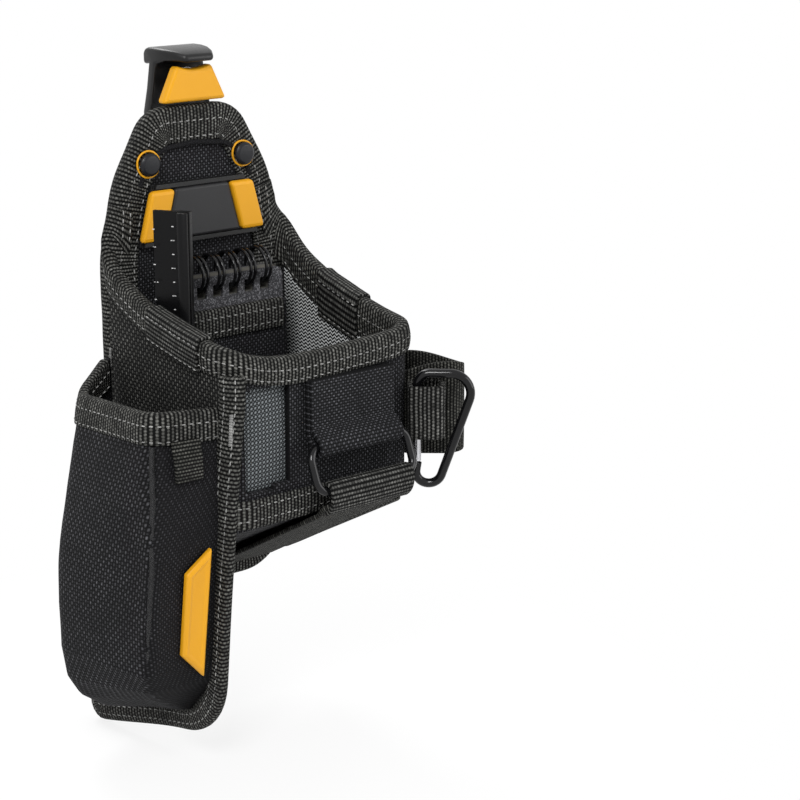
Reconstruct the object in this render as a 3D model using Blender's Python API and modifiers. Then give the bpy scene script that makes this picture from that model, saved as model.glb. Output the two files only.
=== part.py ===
# A small electrician's tool pouch that clips to a belt hub.
# Metres, +Z up, the front faces -Y. The origin lies on the back of the hub socket, between the rivets.

import math

import bmesh
import bpy
from mathutils import Matrix, Vector

MM = 0.001

# Fits and stock
FIT = 0.3 * MM
TAPE = 1.2 * MM
TAPE_LEG = 9.5 * MM
FABRIC = 2.5 * MM
WEBBING = 1.8 * MM

# Back panel, in front of the plate and the socket
PANEL_THICKNESS = 3.0 * MM
PANEL_TOP = 18.5 * MM
PANEL_BOTTOM = -166.5 * MM
PANEL_TOP_HALF = 18.5 * MM
PANEL_NECK_HALF = 32.5 * MM
PANEL_NECK_Z = -6.5 * MM
PANEL_SHOULDER_Z = -34.0 * MM
PANEL_TOP_RADIUS = 13.0 * MM
PANEL_SIDE_RADIUS = 50.0 * MM
PANEL_FOOT_RADIUS = 20.0 * MM
SEAM_MARGIN = 0.6 * MM

# Clip plate with its hook, and the socket behind it
SOCKET_DEPTH = 7.0 * MM
PLATE_THICKNESS = 4.0 * MM
PLATE_HALF = 25.0 * MM
PLATE_FOOT_Z = -64.0 * MM
PLATE_SHOULDER_Z = 2.5 * MM
NECK_HALF = 14.5 * MM
NECK_TOP_HALF = 11.0 * MM
HOOK_TOP = 41.0 * MM
HOOK_THICKNESS = 4.2 * MM
HOOK_REACH = 11.5 * MM
HOOK_BACK_LIP = 6.6 * MM
HOOK_DROP = 3.0 * MM
HOOK_TIP_SHARE = 0.46
RAIL_WIDTH = 6.0 * MM
SOCKET_TOP_Z = 10.0 * MM
SOCKET_MOUTH_HALF = 24.0 * MM
SOCKET_NECK_HALF = 9.0 * MM
SOCKET_NECK_Z = -8.0 * MM

# Release button, its plunger and its spring
BUTTON_BOTTOM_HALF = 14.2 * MM
BUTTON_TOP_HALF = 7.7 * MM
BUTTON_HEIGHT = 13.5 * MM
BUTTON_DEPTH = 4.8 * MM
BUTTON_PROUD = 3.0 * MM
BUTTON_LIFT = 1.2 * MM
BUTTON_DIP = 1.6 * MM
BUTTON_BEVEL = 1.4 * MM
NECK_RIB = 2.0 * MM
NECK_RIB_DEPTH = 1.6 * MM
PLUNGER_WIDTH = 6.0 * MM
PLUNGER_HEIGHT = 4.0 * MM
PLUNGER_TAIL = 1.6 * MM
SPRING_RADIUS = 5.4 * MM
SPRING_TIP_RADIUS = 4.2 * MM
SPRING_WIRE = 0.4 * MM
SPRING_TURNS = 2
SPRING_STEPS = 12

# Rivets
RIVET_X = 21.0 * MM
RIVET_CAP_RADIUS = 4.3 * MM
RIVET_CAP_HEIGHT = 2.0 * MM
RIVET_RING_RADIUS = 5.15 * MM
RIVET_RING_HEIGHT = 1.0 * MM
RIVET_SHANK_RADIUS = 1.6 * MM
RIVET_BACK_RADIUS = 4.0 * MM
RIVET_BACK_HEIGHT = 2.2 * MM

# Badge on the panel
BADGE_TOP_Z = -7.5 * MM
BADGE_HEIGHT = 22.5 * MM
BADGE_TOP_HALF = 22.0 * MM
BADGE_BOTTOM_HALF = 28.0 * MM
BADGE_BASE = 1.6 * MM
BADGE_LIP = 1.6 * MM
BADGE_END_WIDTH = 10.2 * MM
BADGE_END_HEIGHT = 3.4 * MM
BADGE_CENTRE_HEIGHT = 2.6 * MM
BADGE_OVERHANG = 1.5 * MM
BADGE_POST_X = 10.0 * MM
BADGE_POST_RADIUS = 2.0 * MM

# Main pocket
RIM_BACK_Z = -32.0 * MM
RIM_FRONT_Z = -56.0 * MM
RIM_POWER = 2.1
RIM_STATIONS = 9
POCKET_DEPTH = 75.5 * MM
POCKET_BELLY = 3.5 * MM
FRONT_BOTTOM_Z = -117.0 * MM
LEFT_RIM_RADIUS = 9.0 * MM
RIGHT_CORNER_RADIUS = 6.5 * MM
FLOOR_FRONT_RISE = 2.0 * MM
FLOOR_BACK_Z = -156.0 * MM
WINDOW_LEFT_X = -28.7 * MM
WINDOW_WIDTH = 15.0 * MM
WINDOW_TOP_DROP = 13.0 * MM
WINDOW_HEIGHT = 35.0 * MM
MESH = 1.0 * MM
LINING = 0.8 * MM

# Left wall, which hangs on below the pocket and turns forward at the front edge
POUCH_DROP = 214.5 * MM
WALL_TURN = POCKET_DEPTH - 6.0 * MM
WALL_TURN_RADIUS = 12.0 * MM
WALL_FRONT_TOP = POCKET_DEPTH + 3.2 * MM
WALL_FRONT_KNEE = POCKET_DEPTH - 2.0 * MM
WALL_FRONT_KNEE_Z = -124.0 * MM
WALL_KNEE_RADIUS = 40.0 * MM
WALL_FRONT_FOOT = POCKET_DEPTH - 10.5 * MM
WALL_BOTTOM_BACK_Z = -POUCH_DROP
WALL_BOTTOM_FRONT_Z = WALL_BOTTOM_BACK_Z + 17.2 * MM
WALL_BACK_REACH = 10.0 * MM
WALL_BACK_CORNER = 6.0 * MM
WALL_FRONT_CORNER = 28.0 * MM
WALL_TAPE_LEG = 8.0 * MM

# Tool pocket on the outside of the left wall
TOOL_RIM_Z = -74.0 * MM
TOOL_RIM_DEPTH = 24.5 * MM
TOOL_FOOT_Z = WALL_BOTTOM_BACK_Z + 17.5 * MM
TOOL_BEND_Z = TOOL_FOOT_Z + 21.0 * MM
TOOL_BELLY_Z = TOOL_BEND_Z + 29.0 * MM
TOOL_BELLY_DEPTH = 32.5 * MM
TOOL_BEND_DEPTH = 33.2 * MM
TOOL_BACK_ROOT = 6.5 * MM
TOOL_RIM_BACK = 24.0 * MM
TOOL_BELLY_BACK = 10.0 * MM
TOOL_FOOT_BACK = 11.0 * MM
TOOL_RIM_RIDGE = 63.0 * MM
TOOL_BELLY_RIDGE = 68.0 * MM
TOOL_BEND_RIDGE = 64.0 * MM
TOOL_FOOT_RIDGE = 50.0 * MM
TOOL_FOOT_ROOT = 41.5 * MM
TOOL_FABRIC = 2.2 * MM
TAB_WIDTH = 14.0 * MM
TAB_LENGTH = 14.0 * MM
TAG_WIDTH = 11.5 * MM
TAG_HEIGHT = 48.0 * MM
TAG_POINT = 10.0 * MM
TAG_TOP_Z = TOOL_BELLY_Z + 22.0 * MM
TAG_THICKNESS = 2.2 * MM

# Notebook and the sleeve that holds it
NOTEBOOK_WIDTH = 52.0 * MM
NOTEBOOK_HEIGHT = 78.0 * MM
NOTEBOOK_TOP_Z = -41.0 * MM
NOTEBOOK_FRONT = 19.4 * MM
COVER = 1.0 * MM
PAGES = 5.0 * MM
NOTEBOOK_GAP = 0.6 * MM
LOOP_COUNT = 6
LOOP_PITCH = 7.1 * MM
LOOP_TWIN = 2.0 * MM
LOOP_RADIUS = 6.6 * MM
LOOP_WIRE = 0.55 * MM
LOOP_HOLE_DROP = 5.6 * MM
SLEEVE = 1.5 * MM
SLEEVE_TOP_Z = -54.0 * MM

# Pocket rule
RULE_WIDTH = 13.9 * MM
RULE_THICKNESS = 3.0 * MM
RULE_TOP_Z = -12.0 * MM
RULE_X = -30.7 * MM
RULE_FORWARD = 31.0 * MM
RULE_TURN = math.radians(-57)

# Strap with the wire ring on the front
STRAP_X = 12.3 * MM
STRAP_WIDTH = 37.5 * MM
RING_WIDTH = 47.0 * MM
RING_HEIGHT = 19.4 * MM
RING_WIRE = 1.55 * MM
RING_CORNER = 5.0 * MM
RING_LEAN = math.radians(22)
RING_DROP = 36.0 * MM
RING_SLACK = 0.6 * MM
STRAP_END_LENGTH = 6.0 * MM
STRAP_SPLIT = 1.2 * MM
STRAP_BOW = 3.75 * MM
STRAP_FOOT_RISE = 5.0 * MM

# Side loop and the carabiner
LOOP_TOP_Z = -70.9 * MM
LOOP_BAND = 31.0 * MM
LOOP_DROOP = 5.0 * MM
LOOP_NEAR = POCKET_DEPTH - 5.9 * MM
LOOP_FAR = LOOP_NEAR - 22.0 * MM
LOOP_SEWN = 9.0 * MM
LOOP_REACH = 21.0 * MM
HANG_LOOP_TOP_Z = LOOP_TOP_Z - 7.0 * MM
HANG_LOOP_HEIGHT = 20.0 * MM
HANG_LOOP_LENGTH = 14.0 * MM
HANG_LOOP_INSIDE = 8.4 * MM
HANG_LOOP_THROAT = 0.8 * MM
HANG_LOOP_START = 1.5 * MM
CLIP_ROD = 1.7 * MM
CLIP_WIDTH = 27.0 * MM
CLIP_HEIGHT = 46.5 * MM
CLIP_TOP_Z = LOOP_TOP_Z - 1.5 * MM
CLIP_BOW_SHARE = 0.36
GATE_X = 4.6 * MM
GATE_ROD = 1.45 * MM
GATE_TOP_DROP = 8.0 * MM
GATE_LENGTH = 26.0 * MM
GATE_PIN = 0.5 * MM
GATE_TONGUE = 1.1 * MM
GATE_BORE = 0.85 * MM
GATE_SPRING_LENGTH = 9.0 * MM

# Places that follow from the sizes above
PLATE_BACK_Y = -(SOCKET_DEPTH + FIT)
PLATE_FRONT_Y = PLATE_BACK_Y - PLATE_THICKNESS
PANEL_BACK_Y = PLATE_FRONT_Y - TAPE - 2 * FIT
PANEL_FRONT_Y = PANEL_BACK_Y - PANEL_THICKNESS
EDGE = TAPE + FIT
NOTEBOOK_THICKNESS = PAGES + 2 * COVER + 2 * FIT
SLEEVE_HALF = NOTEBOOK_WIDTH / 2 + NOTEBOOK_GAP + SLEEVE
PANEL_HALF = SLEEVE_HALF + FIT + TAPE_LEG + SEAM_MARGIN
LEFT_X = -(PANEL_HALF + EDGE)
RIGHT_X = PANEL_HALF + EDGE + POCKET_BELLY
WALL_BACK = EDGE + FIT
FRONT_MID = POCKET_DEPTH - FABRIC / 2


def front(distance):
    """Y of a place this far in front of the back panel's face."""
    return PANEL_FRONT_Y - distance


def lerp(a, b, t):
    return a + (b - a) * t


def rim_z(forward):
    """Height of the main pocket's rim, this far in front of the panel."""
    share = max(0.0, 1 - forward / POCKET_DEPTH)
    return RIM_FRONT_Z + (RIM_BACK_Z - RIM_FRONT_Z) * share ** RIM_POWER


def floor_z(forward):
    """Height of the pocket floor's upper face."""
    return lerp(FLOOR_BACK_Z, FRONT_BOTTOM_Z + FLOOR_FRONT_RISE, forward / POCKET_DEPTH)


def along(table, value):
    """Reads a table of (place, value) pairs with straight lines between its rows."""
    for (a, low), (b, high) in zip(table, table[1:]):
        if value <= b or (b, high) == table[-1]:
            return lerp(low, high, (value - a) / (b - a))


def steps(low, high, count):
    return [lerp(low, high, i / count) for i in range(count + 1)]


def rounded(corners, closed=False, turn=math.radians(14)):
    """Points of a polyline whose corners, given as (a, b, radius), are turned as arcs."""
    points = []
    count = len(corners)
    for i, (a, b, radius) in enumerate(corners):
        here = Vector((a, b))
        if radius == 0 or (not closed and i in (0, count - 1)):
            points.append(here)
            continue
        before = (Vector(corners[i - 1][:2]) - here).normalized()
        after = (Vector(corners[(i + 1) % count][:2]) - here).normalized()
        opening = before.angle(after)
        sweep = math.pi - opening
        middle = here + (before + after).normalized() * radius / math.sin(opening / 2)
        start = here + before * radius / math.tan(opening / 2) - middle
        side = 1 if before.x * after.y - before.y * after.x < 0 else -1
        pieces = max(2, math.ceil(sweep / turn))
        for k in range(pieces + 1):
            points.append(middle + Matrix.Rotation(side * sweep * k / pieces, 2) @ start)
    return points


def clear_scene():
    for thing in list(bpy.data.objects):
        bpy.data.objects.remove(thing, do_unlink=True)


def collection(name):
    made = bpy.data.collections.new(name)
    bpy.context.scene.collection.children.link(made)
    return made


def material(name, colour, roughness, metallic=0.0):
    made = bpy.data.materials.new(name)
    made.use_nodes = True
    shader = made.node_tree.nodes["Principled BSDF"]
    shader.inputs["Base Color"].default_value = (*colour, 1)
    shader.inputs["Roughness"].default_value = roughness
    shader.inputs["Metallic"].default_value = metallic
    return made


clear_scene()
PARTS = collection("electrician_tool_pouch")
CUTTERS = collection("cutters")
NYLON = material("black_nylon", (0.022, 0.022, 0.025), 0.85)
EDGING = material("edging_tape", (0.05, 0.05, 0.052), 0.9)
STRAPPING = material("black_webbing", (0.03, 0.03, 0.032), 0.85)
GREY_MESH = material("grey_mesh", (0.18, 0.19, 0.2), 0.9)
YELLOW = material("yellow_plastic", (0.83, 0.42, 0.03), 0.4)
BLACK_PLASTIC = material("black_plastic", (0.02, 0.02, 0.022), 0.4)
GREY_PLASTIC = material("grey_plastic", (0.06, 0.06, 0.065), 0.5)
BLACK_STEEL = material("black_steel", (0.012, 0.012, 0.014), 0.25, 1.0)
STEEL = material("bright_steel", (0.6, 0.6, 0.62), 0.3, 1.0)
CARD = material("grey_card", (0.05, 0.05, 0.056), 0.8)
PAPER = material("paper", (0.75, 0.73, 0.68), 0.9)


def add(name, mesh, finish, cutter=False):
    made = bpy.data.objects.new(name, mesh)
    if cutter:
        CUTTERS.objects.link(made)
        made.hide_render = True
        made.display_type = "WIRE"
    else:
        PARTS.objects.link(made)
        mesh.materials.append(finish)
    return made


def sheet(name, lengths, widths, place, thickness, finish):
    """A fabric piece: a flat grid laid out by place(length, width), then thickened both ways."""
    bm = bmesh.new()
    columns = len(lengths) - 1
    rows = len(widths) - 1
    bmesh.ops.create_grid(bm, x_segments=columns, y_segments=rows, size=1)
    for vert in bm.verts:
        column = round((vert.co.x + 1) / 2 * columns)
        row = round((vert.co.y + 1) / 2 * rows)
        vert.co = place(lengths[column], widths[row])
    mesh = bpy.data.meshes.new(name)
    bm.to_mesh(mesh)
    bm.free()
    made = add(name, mesh, finish)
    wall = made.modifiers.new("thickness", "SOLIDIFY")
    wall.thickness = thickness
    wall.offset = 0
    wall.use_even_offset = True
    return made


def edging(name, path, inward, across, core, leg=TAPE_LEG):
    """Tape folded over an edge: path points, the way into the sheet and the sheet's normal at each."""
    half = core / 2 + FIT + TAPE / 2
    lift = FIT + TAPE / 2

    def place(index, fold):
        i = round(index)
        side, depth = fold
        return path[i] + across[i] * half * side + inward[i] * (depth * (leg + lift) - lift)

    folds = [(-1, 1), (-1, 0), (1, 0), (1, 1)]
    return sheet(name, list(range(len(path))), folds, place, TAPE, EDGING)


def miters(points, closed=False):
    """Left-hand normals of a flat polyline, lengthened at its corners."""
    normals = []
    last = len(points) - 1
    for i, here in enumerate(points):
        before = here - points[i - 1] if i or closed else points[1] - here
        after = points[(i + 1) % len(points)] - here if i < last or closed else here - points[i - 1]
        one = Vector((-before.y, before.x)).normalized()
        two = Vector((-after.y, after.x)).normalized()
        middle = (one + two).normalized()
        normals.append(middle / max(0.5, middle.dot(one)))
    return normals


def curve_mesh(name, curve, finish, cutter=False):
    """The closed mesh of a curve, with its caps welded on."""
    guide = bpy.data.objects.new(name + "_guide", curve)
    bpy.context.scene.collection.objects.link(guide)
    bpy.context.view_layer.update()
    mesh = bpy.data.meshes.new_from_object(guide.evaluated_get(bpy.context.evaluated_depsgraph_get()))
    bpy.data.objects.remove(guide)
    bm = bmesh.new()
    bm.from_mesh(mesh)
    bmesh.ops.remove_doubles(bm, verts=bm.verts, dist=MM / 200)
    bm.to_mesh(mesh)
    bm.free()
    mesh.name = name
    return add(name, mesh, finish, cutter)


def plate(name, outline, low, high, finish, cutter=False, holes=()):
    """A flat outline in X and Z, filled between the heights low and high in Y."""
    curve = bpy.data.curves.new(name, "CURVE")
    curve.dimensions = "2D"
    curve.fill_mode = "BOTH"
    curve.extrude = (high - low) / 2
    for points in (outline, *holes):
        spline = curve.splines.new("POLY")
        spline.points.add(len(points) - 1)
        for point, (x, z) in zip(spline.points, points):
            point.co = (x, z, 0, 1)
        spline.use_cyclic_u = True
    made = curve_mesh(name, curve, finish, cutter)
    upright = Matrix.Translation((0, (low + high) / 2, 0)) @ Matrix.Rotation(math.pi / 2, 4, "X")
    made.data.transform(upright)
    return made


def rod(name, points, radius, finish, closed=False, sides=2, coiled=False):
    """A wire or bar along a list of points; a coil's twisted faces are cut into triangles."""
    curve = bpy.data.curves.new(name, "CURVE")
    curve.dimensions = "3D"
    curve.bevel_depth = radius
    curve.bevel_resolution = sides
    curve.use_fill_caps = not closed
    spline = curve.splines.new("POLY")
    spline.points.add(len(points) - 1)
    for point, place in zip(spline.points, points):
        point.co = (*place, 1)
    spline.use_cyclic_u = closed
    made = curve_mesh(name, curve, finish)
    if coiled:
        bm = bmesh.new()
        bm.from_mesh(made.data)
        bmesh.ops.triangulate(bm, faces=bm.faces)
        bm.to_mesh(made.data)
        bm.free()
    return made


def turned(name, profile, place, finish, turns=20):
    """A profile of (radius, forward) pairs, outer side from the front to the back, turned about -Y."""
    mesh = bpy.data.meshes.new(name)
    points = [(radius, 0, forward) for radius, forward in profile]
    mesh.from_pydata(points, [(i, i + 1) for i in range(len(points) - 1)], [])
    made = add(name, mesh, finish)
    made.location = place
    made.rotation_euler.x = math.pi / 2
    screw = made.modifiers.new("turn", "SCREW")
    screw.steps = turns
    screw.render_steps = turns
    screw.use_merge_vertices = True
    screw.merge_threshold = MM / 100
    return made


def block(name, low, high, finish=None, cutter=False):
    bm = bmesh.new()
    bmesh.ops.create_cube(bm, size=1)
    low = Vector(low)
    size = Vector(high) - low
    for vert in bm.verts:
        vert.co = low + Vector((size[k] * (vert.co[k] + 0.5) for k in range(3)))
    mesh = bpy.data.meshes.new(name)
    bm.to_mesh(mesh)
    bm.free()
    return add(name, mesh, finish, cutter)


def boolean(target, tool, operation="DIFFERENCE"):
    step = target.modifiers.new(tool.name, "BOOLEAN")
    step.operation = operation
    step.object = tool


def soften(target, width, limit=math.radians(35)):
    bevel = target.modifiers.new("edges", "BEVEL")
    bevel.width = width
    bevel.segments = 2
    bevel.limit_method = "ANGLE"
    bevel.angle_limit = limit


def drill(name, x, z, radius, low, high):
    """A round cutter along Y."""
    bm = bmesh.new()
    bmesh.ops.create_cone(
        bm, cap_ends=True, segments=20, radius1=radius, radius2=radius, depth=high - low
    )
    mesh = bpy.data.meshes.new(name)
    bm.to_mesh(mesh)
    bm.free()
    mesh.transform(Matrix.Translation((x, (low + high) / 2, z)) @ Matrix.Rotation(math.pi / 2, 4, "X"))
    return add(name, mesh, None, True)


def panel_outline():
    right = [
        (PANEL_TOP_HALF, PANEL_TOP, PANEL_TOP_RADIUS),
        (PANEL_NECK_HALF, PANEL_NECK_Z, PANEL_SIDE_RADIUS),
        (PANEL_HALF, PANEL_SHOULDER_Z, PANEL_SIDE_RADIUS),
        (PANEL_HALF, PANEL_BOTTOM, PANEL_FOOT_RADIUS),
    ]
    left = [(-x, z, radius) for x, z, radius in reversed(right)]
    return right + left


def build_back_panel(rivet_holes):
    outline = rounded(panel_outline(), closed=True)
    panel = plate("back_panel", outline, PANEL_FRONT_Y, PANEL_BACK_Y, NYLON)
    middle = (PANEL_FRONT_Y + PANEL_BACK_Y) / 2
    # The tape starts and ends at the middle of the lower edge, with a narrow butt joint
    start = [Vector((-FIT, PANEL_BOTTOM))]
    half = len(outline) // 2
    ring = start + outline[half:] + outline[:half] + [Vector((FIT, PANEL_BOTTOM))]
    normals = miters(ring)
    path = [Vector((p.x, middle, p.y)) for p in ring]
    inward = [Vector((-n.x, 0, -n.y)) for n in normals]
    across = [Vector((0, 1, 0))] * len(path)
    tape = edging("back_panel_binding", path, inward, across, PANEL_THICKNESS)
    for hole in rivet_holes:
        boolean(panel, hole)
        boolean(tape, hole)


def build_clip(rivet_holes):
    neck_foot = PANEL_TOP
    outline = [
        (PLATE_HALF, PLATE_FOOT_Z),
        (PLATE_HALF, PLATE_SHOULDER_Z),
        (NECK_HALF, neck_foot),
        (NECK_TOP_HALF, HOOK_TOP - HOOK_THICKNESS / 2),
    ]
    corners = [(x, z, 3 * MM) for x, z in outline[:3]] + [(*outline[3], 0)]
    corners += [(-x, z, radius) for x, z, radius in reversed(corners)]
    body = plate("clip_plate", rounded(corners, closed=True), PLATE_FRONT_Y, PLATE_BACK_Y, BLACK_PLASTIC)
    # The hook's flange, thicker at the root and narrower at the tip
    tip = PLATE_FRONT_Y - HOOK_REACH
    back = PLATE_BACK_Y + HOOK_BACK_LIP
    under = HOOK_TOP - HOOK_THICKNESS
    profile = [
        (back, under - HOOK_DROP / 2, HOOK_BACK_LIP / 3),
        (back, HOOK_TOP - HOOK_DROP / 2, HOOK_BACK_LIP / 3),
        (PLATE_FRONT_Y, HOOK_TOP, HOOK_REACH / 2),
        (tip, HOOK_TOP - HOOK_DROP, HOOK_THICKNESS / 6),
        (tip, under - HOOK_DROP / 2, HOOK_THICKNESS / 6),
        (PLATE_FRONT_Y - HOOK_REACH / 3, under, HOOK_REACH / 4),
        (PLATE_FRONT_Y - MM, under - HOOK_DROP / 3, MM / 2),
    ]
    half = NECK_TOP_HALF + MM
    flange = plate("hook_flange", rounded(profile, closed=True), -half, half, None, True)
    flange.data.transform(Matrix.Rotation(math.pi / 2, 4, "Z"))
    for vert in flange.data.vertices:
        forward = max(0, (PLATE_FRONT_Y - vert.co.y) / HOOK_REACH)
        vert.co.x *= -lerp(1, HOOK_TIP_SHARE, forward)
    flip_if_inside_out(flange.data)
    boolean(body, flange, "UNION")
    # A rib behind each side of the neck makes it a shallow channel
    for side in (-1, 1):
        foot = Vector((side * (NECK_HALF - NECK_RIB), button_bottom()))
        head = Vector((side * (NECK_TOP_HALF - NECK_RIB), under))
        wide = Vector((side * NECK_RIB, 0))
        ridge = [foot, head, head + wide, foot + wide]
        bar = plate(f"neck_rib_{side}", ridge, PLATE_BACK_Y - MM, PLATE_BACK_Y + NECK_RIB_DEPTH, None, True)
        flip_if_inside_out(bar.data)
        boolean(body, bar, "UNION")
    window_z = button_middle()
    wide = PLUNGER_WIDTH / 2 + 2 * FIT
    tall = PLUNGER_HEIGHT / 2 + 2 * FIT
    window = block(
        "plunger_window",
        (-wide, PLATE_FRONT_Y - MM, window_z - tall),
        (wide, PLATE_BACK_Y + MM, window_z + tall),
        None,
        True,
    )
    boolean(body, window)
    for hole in rivet_holes:
        boolean(body, hole)


def flip_if_inside_out(mesh):
    bm = bmesh.new()
    bm.from_mesh(mesh)
    bmesh.ops.recalc_face_normals(bm, faces=bm.faces)
    bm.to_mesh(mesh)
    bm.free()


def build_hub_socket():
    """The rails that slide over a belt hub: closed above, open below and narrowing upwards."""
    outer = [
        (SOCKET_MOUTH_HALF + RAIL_WIDTH, PLATE_FOOT_Z),
        (SOCKET_NECK_HALF + RAIL_WIDTH, SOCKET_NECK_Z),
        (SOCKET_NECK_HALF + RAIL_WIDTH - 2 * MM, SOCKET_TOP_Z),
    ]
    inner = [(SOCKET_MOUTH_HALF, PLATE_FOOT_Z), (SOCKET_NECK_HALF, SOCKET_NECK_Z)]
    half = [(*inner[0], 0), (*outer[0], 0), (*outer[1], 6 * MM), (*outer[2], 2 * MM)]
    corners = half + [(-x, z, radius) for x, z, radius in reversed(half)]
    corners += [(-inner[1][0], inner[1][1], 2 * MM), (*inner[1], 2 * MM)]
    plate("hub_socket", rounded(corners, closed=True), -SOCKET_DEPTH, 0, BLACK_PLASTIC)


def button_bottom():
    return PANEL_TOP + EDGE + BUTTON_LIFT


def button_middle():
    return button_bottom() + BUTTON_HEIGHT / 2


def build_button():
    low = button_bottom()
    high = low + BUTTON_HEIGHT
    face = front(BUTTON_PROUD)
    back = face + BUTTON_DEPTH
    dip = [(x, high - BUTTON_DIP * (1 - (x / BUTTON_TOP_HALF) ** 2))
           for x in steps(BUTTON_TOP_HALF, -BUTTON_TOP_HALF, 8)]
    outline = [(-BUTTON_BOTTOM_HALF, low), (BUTTON_BOTTOM_HALF, low), *dip]
    button = plate("release_button", outline, face, back, YELLOW)
    soften(button, BUTTON_BEVEL, math.radians(50))
    middle = button_middle()
    wide = PLUNGER_WIDTH / 2
    tall = PLUNGER_HEIGHT / 2
    block(
        "button_plunger",
        (-wide, back + FIT, middle - tall),
        (wide, PLATE_BACK_Y + PLUNGER_TAIL, middle + tall),
        BLACK_PLASTIC,
    )
    start = back + FIT + SPRING_WIRE
    end = PLATE_FRONT_Y - FIT - SPRING_WIRE
    coil = []
    for i in range(SPRING_TURNS * SPRING_STEPS + 1):
        angle = i * math.tau / SPRING_STEPS
        share = i / (SPRING_TURNS * SPRING_STEPS)
        radius = lerp(SPRING_RADIUS, SPRING_TIP_RADIUS, share)
        height = lerp(start, end, share)
        coil.append((radius * math.cos(angle), height, middle + radius * math.sin(angle)))
    rod("button_spring", coil, SPRING_WIRE / 2, STEEL, sides=1, coiled=True)


def build_rivets():
    over_tape = EDGE + FIT
    seat = over_tape + RIVET_RING_HEIGHT + FIT
    shank_end = PLATE_BACK_Y + RIVET_BACK_HEIGHT / 2
    for side, x in (("left", -RIVET_X), ("right", RIVET_X)):
        place = (x, PANEL_FRONT_Y, 0)
        dome = [(RIVET_CAP_RADIUS * math.sin(a), seat + RIVET_CAP_HEIGHT * math.cos(a))
                for a in steps(0, math.pi / 2 * 0.85, 5)]
        cap = dome + [(RIVET_CAP_RADIUS, seat), (RIVET_SHANK_RADIUS, seat)]
        cap += [(RIVET_SHANK_RADIUS, PANEL_FRONT_Y - shank_end), (0, PANEL_FRONT_Y - shank_end)]
        turned(f"rivet_{side}", cap, place, BLACK_PLASTIC)
        bore = RIVET_SHANK_RADIUS + FIT
        top = over_tape + RIVET_RING_HEIGHT
        soft = RIVET_RING_HEIGHT / 3
        ring = [(bore, top), (RIVET_RING_RADIUS - soft, top), (RIVET_RING_RADIUS, top - soft)]
        ring += [(RIVET_RING_RADIUS, over_tape), (bore, over_tape), (bore, top)]
        turned(f"rivet_ring_{side}", ring, place, YELLOW)
        near = PANEL_FRONT_Y - PLATE_BACK_Y - FIT
        far = near - RIVET_BACK_HEIGHT
        blind = PANEL_FRONT_Y - shank_end - FIT
        back = [(0, blind), (bore, blind), (bore, near), (RIVET_BACK_RADIUS, near)]
        back += [(RIVET_BACK_RADIUS, far + soft), (RIVET_BACK_RADIUS - soft, far), (0, far)]
        turned(f"rivet_back_{side}", back, place, BLACK_STEEL)


def rivet_drills():
    reach = 2 * MM
    return [
        drill(f"rivet_hole_{name}", x, 0, RIVET_SHANK_RADIUS + FIT,
              front(EDGE) - reach, PLATE_BACK_Y + reach)
        for name, x in (("left", -RIVET_X), ("right", RIVET_X))
    ]


def build_badge():
    seat = front(EDGE + FIT)
    low = BADGE_TOP_Z - BADGE_HEIGHT

    def half(z):
        return lerp(BADGE_BOTTOM_HALF, BADGE_TOP_HALF, (z - low) / BADGE_HEIGHT)

    def trapezoid(inset, z_low, z_high):
        return [(-half(z_low) + inset, z_low), (half(z_low) - inset, z_low),
                (half(z_high) - inset, z_high), (-half(z_high) + inset, z_high)]

    outline = trapezoid(BADGE_OVERHANG, low, BADGE_TOP_Z)
    base = plate("badge_base", outline, seat - BADGE_BASE, seat, BLACK_PLASTIC)
    for side in (-1, 1):
        post = drill(f"badge_post_{side}", side * BADGE_POST_X, low + BADGE_HEIGHT / 2,
                     BADGE_POST_RADIUS, seat - BADGE_BASE / 2, front(FIT))
        boolean(base, post, "UNION")
    # Thin lips close the base above and below
    for name, z in (("upper", BADGE_TOP_Z - BADGE_LIP), ("lower", low)):
        lip = trapezoid(BADGE_OVERHANG + MM, z, z + BADGE_LIP)
        bar = plate(f"badge_lip_{name}", lip, seat - BADGE_BASE * 2, seat - BADGE_BASE / 2, None, True)
        boolean(base, bar, "UNION")
    bottom = low + BADGE_LIP + FIT
    top = BADGE_TOP_Z - BADGE_LIP - FIT
    stand = seat - BADGE_BASE - FIT
    inner = BADGE_END_WIDTH + FIT
    centre = plate("badge_centre", trapezoid(inner, bottom, top), stand - BADGE_CENTRE_HEIGHT, stand,
                   GREY_PLASTIC)
    soften(centre, BADGE_CENTRE_HEIGHT * 0.45)
    for side in (-1, 1):
        name = "badge_end_right" if side > 0 else "badge_end_left"
        outer = [(side * half(z), z) for z in (bottom, top)]
        strip = outer + [(x - side * BADGE_END_WIDTH, z) for x, z in reversed(outer)]
        end = plate(name, strip, stand - BADGE_END_HEIGHT, stand, YELLOW)
        soften(end, BADGE_END_HEIGHT * 0.4)


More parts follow.
